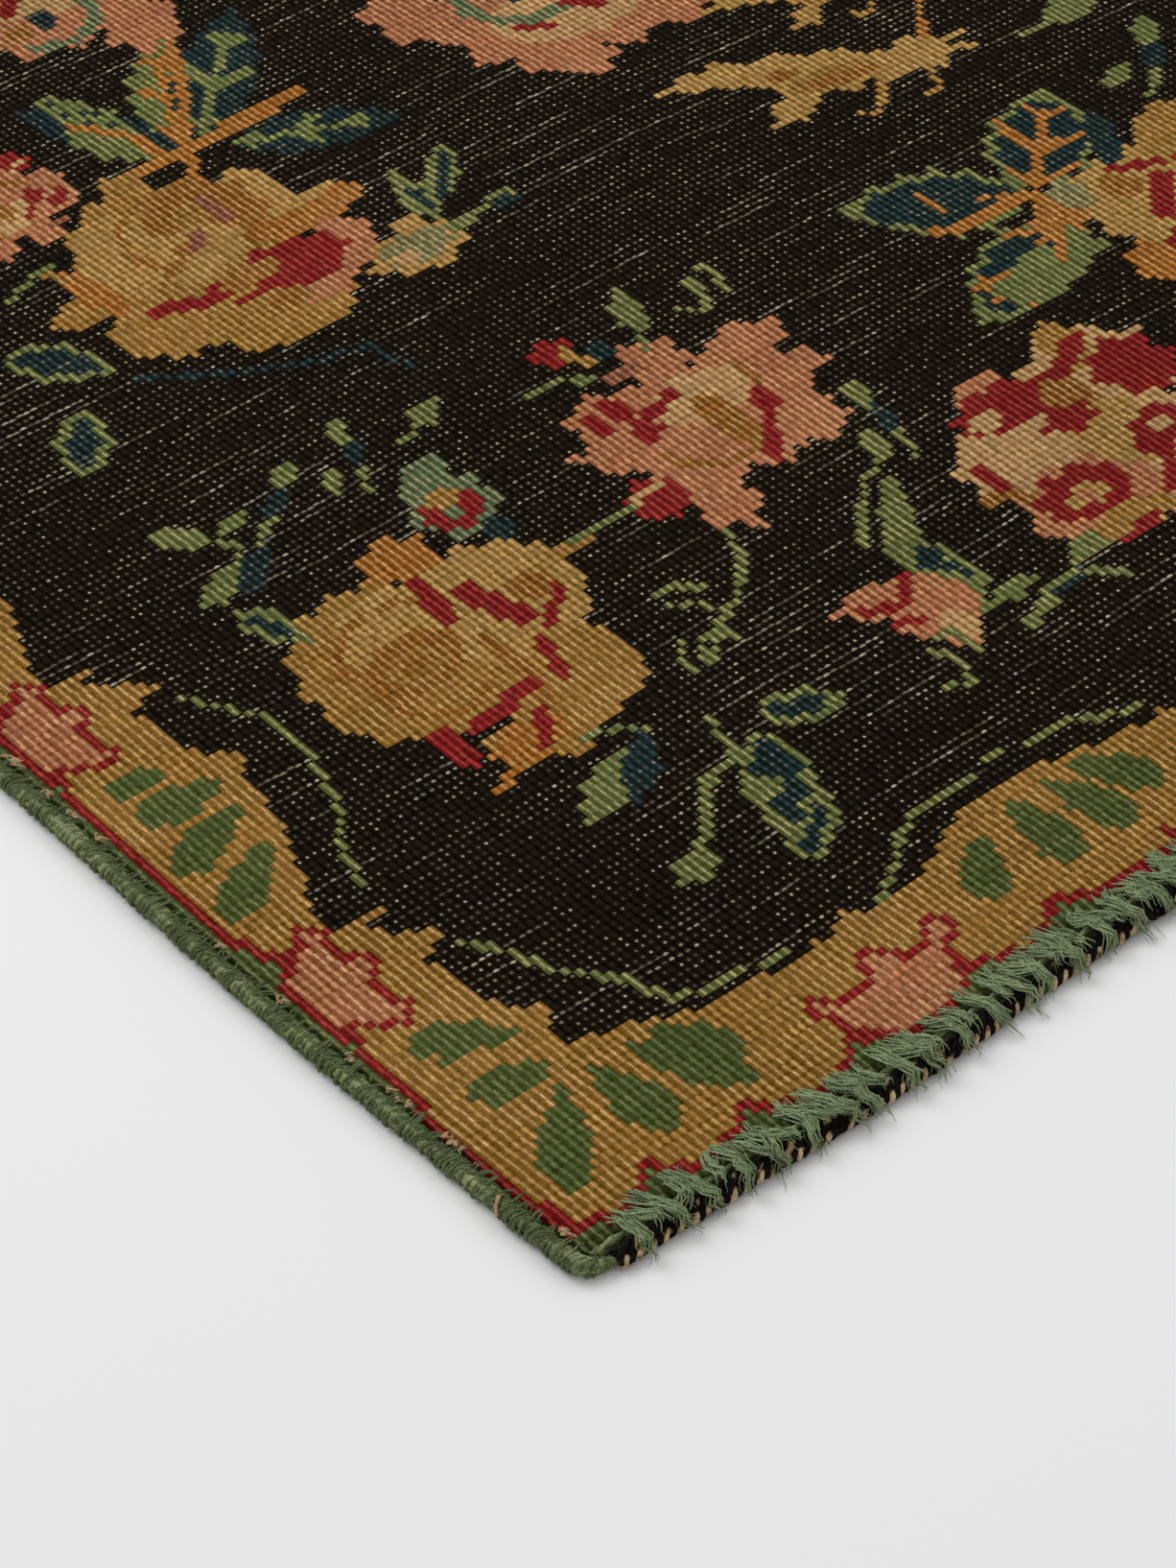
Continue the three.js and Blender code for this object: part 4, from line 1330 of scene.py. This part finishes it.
# Edge pieces, made for the left side and the near end and turned half round for the others
selvedge = {
    "wide": 9.0,
    "high": 7.4,
    "gap": 0.35,
    "pitch": 1.35,  # from one wrap to the next
    "yarn": 0.76,  # half the thickness of the yarn, in mm
    "core": 3.2,
    "flecks": 84,  # clusters of beige thread between roll and cloth
    "over": 330,  # green threads that reach from the roll over the cloth's edge
    "corner": [  # how the roll turns in: place from the cloth's corner, height and size
        (-4.85, 0.5, 3.7, 1.0),
        (-4.4, -1.6, 3.6, 0.98),
        (-3.2, -3.4, 3.4, 0.92),
        (-1.4, -4.8, 3.1, 0.84),
        (0.8, -5.7, 2.8, 0.75),
        (3.2, -6.4, 2.6, 0.62),
        (5.8, -7.0, 2.4, 0.45),
    ],
}
rope = {"wide": 8.4, "high": 6.4, "twist": 0.06, "inset": 5.0, "web": 2.0, "gap": 0.35}
stitch = {
    "count": 80,
    "slant": 7.5,
    "jitter": 5.5,
    "sway": 3.6,  # how far a lock strays sideways from point to point
    "halfThick": 0.95,
    "strands": 27,
    "tuft": 20,
}
ropeOut = rope["gap"] * 2 + rope["web"] + (1 + rope["twist"]) * rope["wide"] / 2


def scatter(i, salt):
    s = math.sin(i * 12.9898 + salt * 78.233) * 43758.5453
    return s - math.floor(s)


def selvedgeLine():
    # the middle of the left roll: it turns in past the cloth's corners and grows thinner to meet the rope
    steps = 220
    line = []
    for i in range(steps + 1):
        v = 0.003 + 0.994 * i / steps
        x, y = clothPoint(0.0, v)
        line.append((x - selvedge["gap"] - selvedge["wide"] / 2, y, selvedge["high"] / 2, 1.0))
    corner = selvedge["corner"]
    x, y = clothPoint(0.0, 0.0)
    near = [(x + dx, y + dy, z, size) for dx, dy, z, size in reversed(corner)]
    x, y = clothPoint(0.0, 1.0)
    far = [(x + dx, y - dy, z, size) for dx, dy, z, size in corner]
    return [*near, *line, *far]


def fleckLines():
    # short beige threads in clusters, crossing one another where the left roll meets the cloth
    lines = []
    for cluster in range(selvedge["flecks"]):
        v = scatter(cluster, 5)
        for i in range(cluster * 5, cluster * 5 + 5):
            x, y = clothPoint(0.0, v + 0.003 * (scatter(i, 6) - 0.5))
            start = x - 2.4 + 2.0 * scatter(i, 9)
            reach = 0.8 + 1.6 * scatter(i, 8)
            lean = 4.5 * (scatter(i, 7) - 0.5)
            shape = [(0, -0.5, 7.5), (0.5, -0.1, 7.3), (1.0, 0.4, 6.6), (1.4, 0.6, 5.7)]
            lines.append([(start + reach * out, y + lean * along, z) for out, along, z in shape])
    # a loose end of beige yarn on the roll, near the corner
    x, y = clothPoint(0.0, 0.02)
    loose = [(x - 9.4, y - 2, 4.6), (x - 8.0, y, 6.6), (x - 6, y + 1.5, 7.6), (x - 4, y + 2, 7.7)]
    return [*lines, loose, loose, loose]


def overLines():
    # green threads from the top of the left roll down on to the cloth's outer knots
    lines = []
    for i in range(selvedge["over"]):
        x, y = clothPoint(0.0, (i + scatter(i, 12)) / selvedge["over"])
        reach = 2.6 + 1.6 * scatter(i, 13)
        lean = 5 * (scatter(i, 14) - 0.3)
        shape = [(-1.2, -0.5, 7.0), (-0.6, 0, 6.9), (0, 0.4, 6.0), (0.5, 0.8, 4.9)]
        lines.append([(x + reach * out, y + lean * along, z) for out, along, z in shape])
    return lines


def endLine(out, height, inset, step=6.0):
    # a line beside the near end, at a distance out from the cloth
    steps = int((clothWidth - 2 * inset) / step)
    line = []
    for i in range(steps + 1):
        x, y = clothPoint((inset + (clothWidth - 2 * inset) * i / steps) / clothWidth, 0.0)
        line.append((x, y - out, height))
    return line


def stitchLine(i, short=False):
    # the same path as its solid, or a short tuft beside it that ends on the rope
    grip = 5 + 4.5 * scatter(i, 1)
    tail = 0.6 + 4.4 * scatter(i, 2) ** 2
    low = stitch["halfThick"]
    over = rope["high"] * (1 + rope["twist"]) + rope["gap"] + low
    path = [
        (-grip, cloth["thick"] + 0.5, -0.5),
        (-grip * 0.4, cloth["thick"] + 1.5, -0.3),
        (rope["gap"] + rope["web"] / 2, 6.3 + low - 0.3, -0.1),
        (ropeOut - 1.5, over + 0.1, 0.1),
        (ropeOut + 2.0, over - 0.3, 0.25),
        (ropeOut + 4.0, over - 2.2, 0.35),
        (ropeOut + 5.4, 3.4, 0.45),
        (ropeOut + 6.1 + tail, low * 0.8, 0.55),
    ]
    along = (i + 1) * clothWidth / (stitch["count"] + 1) + stitch["jitter"] * (scatter(i, 3) - 0.5)
    slant = stitch["slant"] * (scatter(i, 4) * 1.5 - 0.5)
    if short:
        path = [(out * 0.8, z, share) for out, z, share in path[:-2]]
        along += clothWidth / (stitch["count"] + 1) * (0.35 + 0.3 * scatter(i, 10))
        slant = stitch["slant"] * (scatter(i, 11) * 3 - 1.5)
    line = []
    for number, (out, z, share) in enumerate(path):
        sway = stitch["sway"] * (scatter(i + 200 * short, 15 + number) - 0.5)
        x = along + share * slant + sway
        py = clothPoint(x / clothWidth, 0.0)[1]
        line.append((x - clothWidth / 2, py - out, z))
    return line


def turnedHalf(line):
    return [(-point[0], -point[1], *point[2:]) for point in line]


def join(name, parts):
    # several grown meshes as one piece
    with bpy.context.temp_override(active_object=parts[0], selected_editable_objects=parts):
        bpy.ops.object.join()
    parts[0].name = name
    return parts[0]


sheet = makeSheet()
sheet.data.materials.append(pileMaterial())
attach(sheet, "root")
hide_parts("carpet")

greenYarn = yarnMaterial("overcast green wool", (94, 106, 71), (132, 138, 100), (0.2, 0.5))
frayedYarn = yarnMaterial("frayed green wool", (138, 154, 114), (98, 112, 76), (0.0, 0.2))
blackYarn = yarnMaterial("black rope wool", (22, 18, 15), (160, 134, 98), (0.52, 0.62), 120.0)
mixedYarn = yarnMaterial("black and beige rope wool", (22, 18, 15), (190, 162, 124), (0.36, 0.5), 110.0)
beigeYarn = yarnMaterial("beige wool", (186, 158, 118), (150, 124, 88), (0.3, 0.6))
strands = strandTree()
plies = plyTree()
wraps = wrapTree()

for end, turn in (("left", False), ("right", True)):
    line = turnedHalf(selvedgeLine()) if turn else selvedgeLine()
    thick = selvedge["yarn"]
    wrapped = grow(f"selvedge_wraps_{end}", polylines("selvedge path", [line]), wraps, {
        "Pitch": selvedge["pitch"] * mm,
        "Wide": (selvedge["wide"] / 2 - thick) * mm,
        "High": (selvedge["high"] / 2 - thick) * mm,
        "Thick": thick * mm,
        "Slant": 0.5,
        "Sides": 3,
        "Uneven": 0.5 * mm,
        "Hairs": 80000.0,
        "Hair length": 1.7 * mm,
        "Pale hairs": 0.4,
        "Seed": 3 + turn,
        "Material": greenYarn,
    })
    core = grow(f"selvedge_core_{end}", polylines("selvedge path", [line]), plies, {
        "Plies": 1, "Orbit": 0.0, "Thick": selvedge["core"] * mm, "Step": 6 * mm, "Uneven": 0.2 * mm,
        "Seed": 5 + turn, "Material": greenYarn,
    })
    bits = [turnedHalf(bit) for bit in fleckLines()] if turn else fleckLines()
    flecks = grow(f"selvedge_flecks_{end}", polylines("fleck paths", bits), strands, {
        "Strands": 3, "Bundle": 0.4 * mm, "Fray": 0.5 * mm, "Cross": 0.3 * mm, "Thick": 0.27 * mm,
        "Waver": 0.3 * mm, "Seed": 7 + turn, "Material": beigeYarn,
    })
    bits = [turnedHalf(bit) for bit in overLines()] if turn else overLines()
    overs = grow(f"selvedge_overs_{end}", polylines("over paths", bits), strands, {
        "Strands": 3, "Bundle": 1.0 * mm, "Fray": 0.4 * mm, "Cross": 0.8 * mm, "Thick": 0.27 * mm,
        "Waver": 0.4 * mm, "Trim": 0.2, "Seed": 9 + turn, "Material": greenYarn,
    })
    piece = join(f"selvedge_{end}_yarn", [wrapped, core, flecks, overs])
    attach(piece, "root")
    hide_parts(f"selvedge_{end}")

ropePlies = [
    # how far out of the rope's middle and how high, plies and their winding, half the yarn's thickness
    {"out": -0.7, "up": 3.4, "plies": 3, "orbit": 1.7, "lay": 13, "yarn": 1.25, "material": blackYarn},
    {"out": 2.3, "up": 2.5, "plies": 2, "orbit": 1.1, "lay": 5.4, "yarn": 0.95, "material": mixedYarn},
]
for end, turn in (("near", False), ("far", True)):
    parts = []
    for number, ply in enumerate(ropePlies):
        line = endLine(ropeOut + ply["out"], ply["up"], rope["inset"] + 1)
        line = turnedHalf(line) if turn else line
        parts.append(grow(f"rope_part_{end}_{number}", polylines("rope path", [line]), plies, {
            "Plies": ply["plies"],
            "Orbit": ply["orbit"] * mm,
            "Lay": ply["lay"] * mm,
            "Thick": ply["yarn"] * mm,
            "Step": ply["lay"] / 7 * mm,
            "Sides": 5,
            "Uneven": 0.5 * mm,
            "Hairs": 60000.0,
            "Hair length": 2.2 * mm,
            "Pale hairs": 0.15,
            "Seed": 11 + turn,
            "Material": ply["material"],
        }))
    piece = join(f"end_rope_{end}_yarn", parts)
    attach(piece, "root")
    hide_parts(f"end_rope_{end}")

for end, turn in (("near", False), ("far", True)):
    parts = []
    for short in (False, True):
        lines = [stitchLine(i, short) for i in range(stitch["count"] - short)]
        lines = [turnedHalf(line) for line in lines] if turn else lines
        parts.append(grow(f"stitch_locks_{end}_{int(short)}", polylines("stitch paths", lines), strands, {
            "Strands": stitch["tuft"] if short else stitch["strands"],
            "Bundle": 2.1 * mm,
            "Fray": 0.8 * mm,
            "Cross": 2.0 * mm,
            "Thick": 0.22 * mm,
            "Waver": 0.8 * mm,
            "Trim": 0.42,
            "Hairs": 9000.0,
            "Seed": 21 + turn + 2 * short,
            "Material": frayedYarn,
        }))
    webs = [endLine(rope["gap"] + rope["web"] / 2, height, 1.0) for height in (1.6, 4.0)]
    webs = [turnedHalf(line) for line in webs] if turn else webs
    parts.append(grow(f"stitch_web_{end}", polylines("web path", webs), plies, {
        "Plies": 2, "Orbit": 0.5 * mm, "Lay": 11 * mm, "Thick": 1.0 * mm, "Step": 3 * mm, "Uneven": 0.25 * mm,
        "Sides": 5, "Hairs": 30000.0, "Seed": 31 + turn, "Material": greenYarn,
    }))
    piece = join(f"whip_stitch_{end}_yarn", parts)
    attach(piece, "root")
    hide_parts(f"whip_stitch_{end}")

# Floor, light and camera
pale = {"half": 8, "colour": (0.8, 0.8, 0.8), "roughness": 0.9}
floorMesh = bpy.data.meshes.new("floor")
corners = [(x * pale["half"], y * pale["half"], 0) for x, y in ((-1, -1), (1, -1), (1, 1), (-1, 1))]
floorMesh.from_pydata(corners, [], [(0, 1, 2, 3)])
floor = bpy.data.objects.new("floor", floorMesh)
bpy.context.scene.collection.objects.link(floor)
floorMaterial, _, surface = newMaterial("pale floor", pale["roughness"], 0.0)
surface.inputs["Base Color"].default_value = (*pale["colour"], 1)
floorMesh.materials.append(floorMaterial)

studio = {
    "sky": 0.62,
    "skyColour": (1, 1, 1),
    "lamps": [((-1.2, 2.6, 3.0), 2.6, 95.0), ((2.6, 0.6, 3.2), 2.6, 40.0)],  # place, size, power
    "aim": (-0.2, -0.4, 0),
}
world = bpy.data.worlds.new("studio")
bpy.context.scene.world = world
world.use_nodes = True
world.node_tree.nodes["Background"].inputs[0].default_value = (*studio["skyColour"], 1)
world.node_tree.nodes["Background"].inputs[1].default_value = studio["sky"]
for number, (place, size, power) in enumerate(studio["lamps"]):
    lamp = bpy.data.lights.new(f"softbox {number}", "AREA")
    lamp.size = size
    lamp.energy = power
    holder = bpy.data.objects.new(f"softbox {number}", lamp)
    holder.location = place
    holder.rotation_euler = (Vector(studio["aim"]) - Vector(place)).to_track_quat("-Z", "Y").to_euler()
    bpy.context.scene.collection.objects.link(holder)

view = {"place": (-1.2224, -1.567, 1.071), "down": 40.715, "turn": 41.2175, "lens": 112.01, "sensor": 36.0}
camera = bpy.data.cameras.new("camera")
camera.lens = view["lens"]
camera.sensor_width = view["sensor"]
camera.clip_start = 0.05
viewer = bpy.data.objects.new("camera", camera)
viewer.location = view["place"]
viewer.rotation_euler = (math.radians(90 - view["down"]), 0, -math.radians(view["turn"]))
bpy.context.scene.collection.objects.link(viewer)
bpy.context.scene.camera = viewer
bpy.context.scene.view_settings.view_transform = "Standard"

print("stage, lights and camera set")
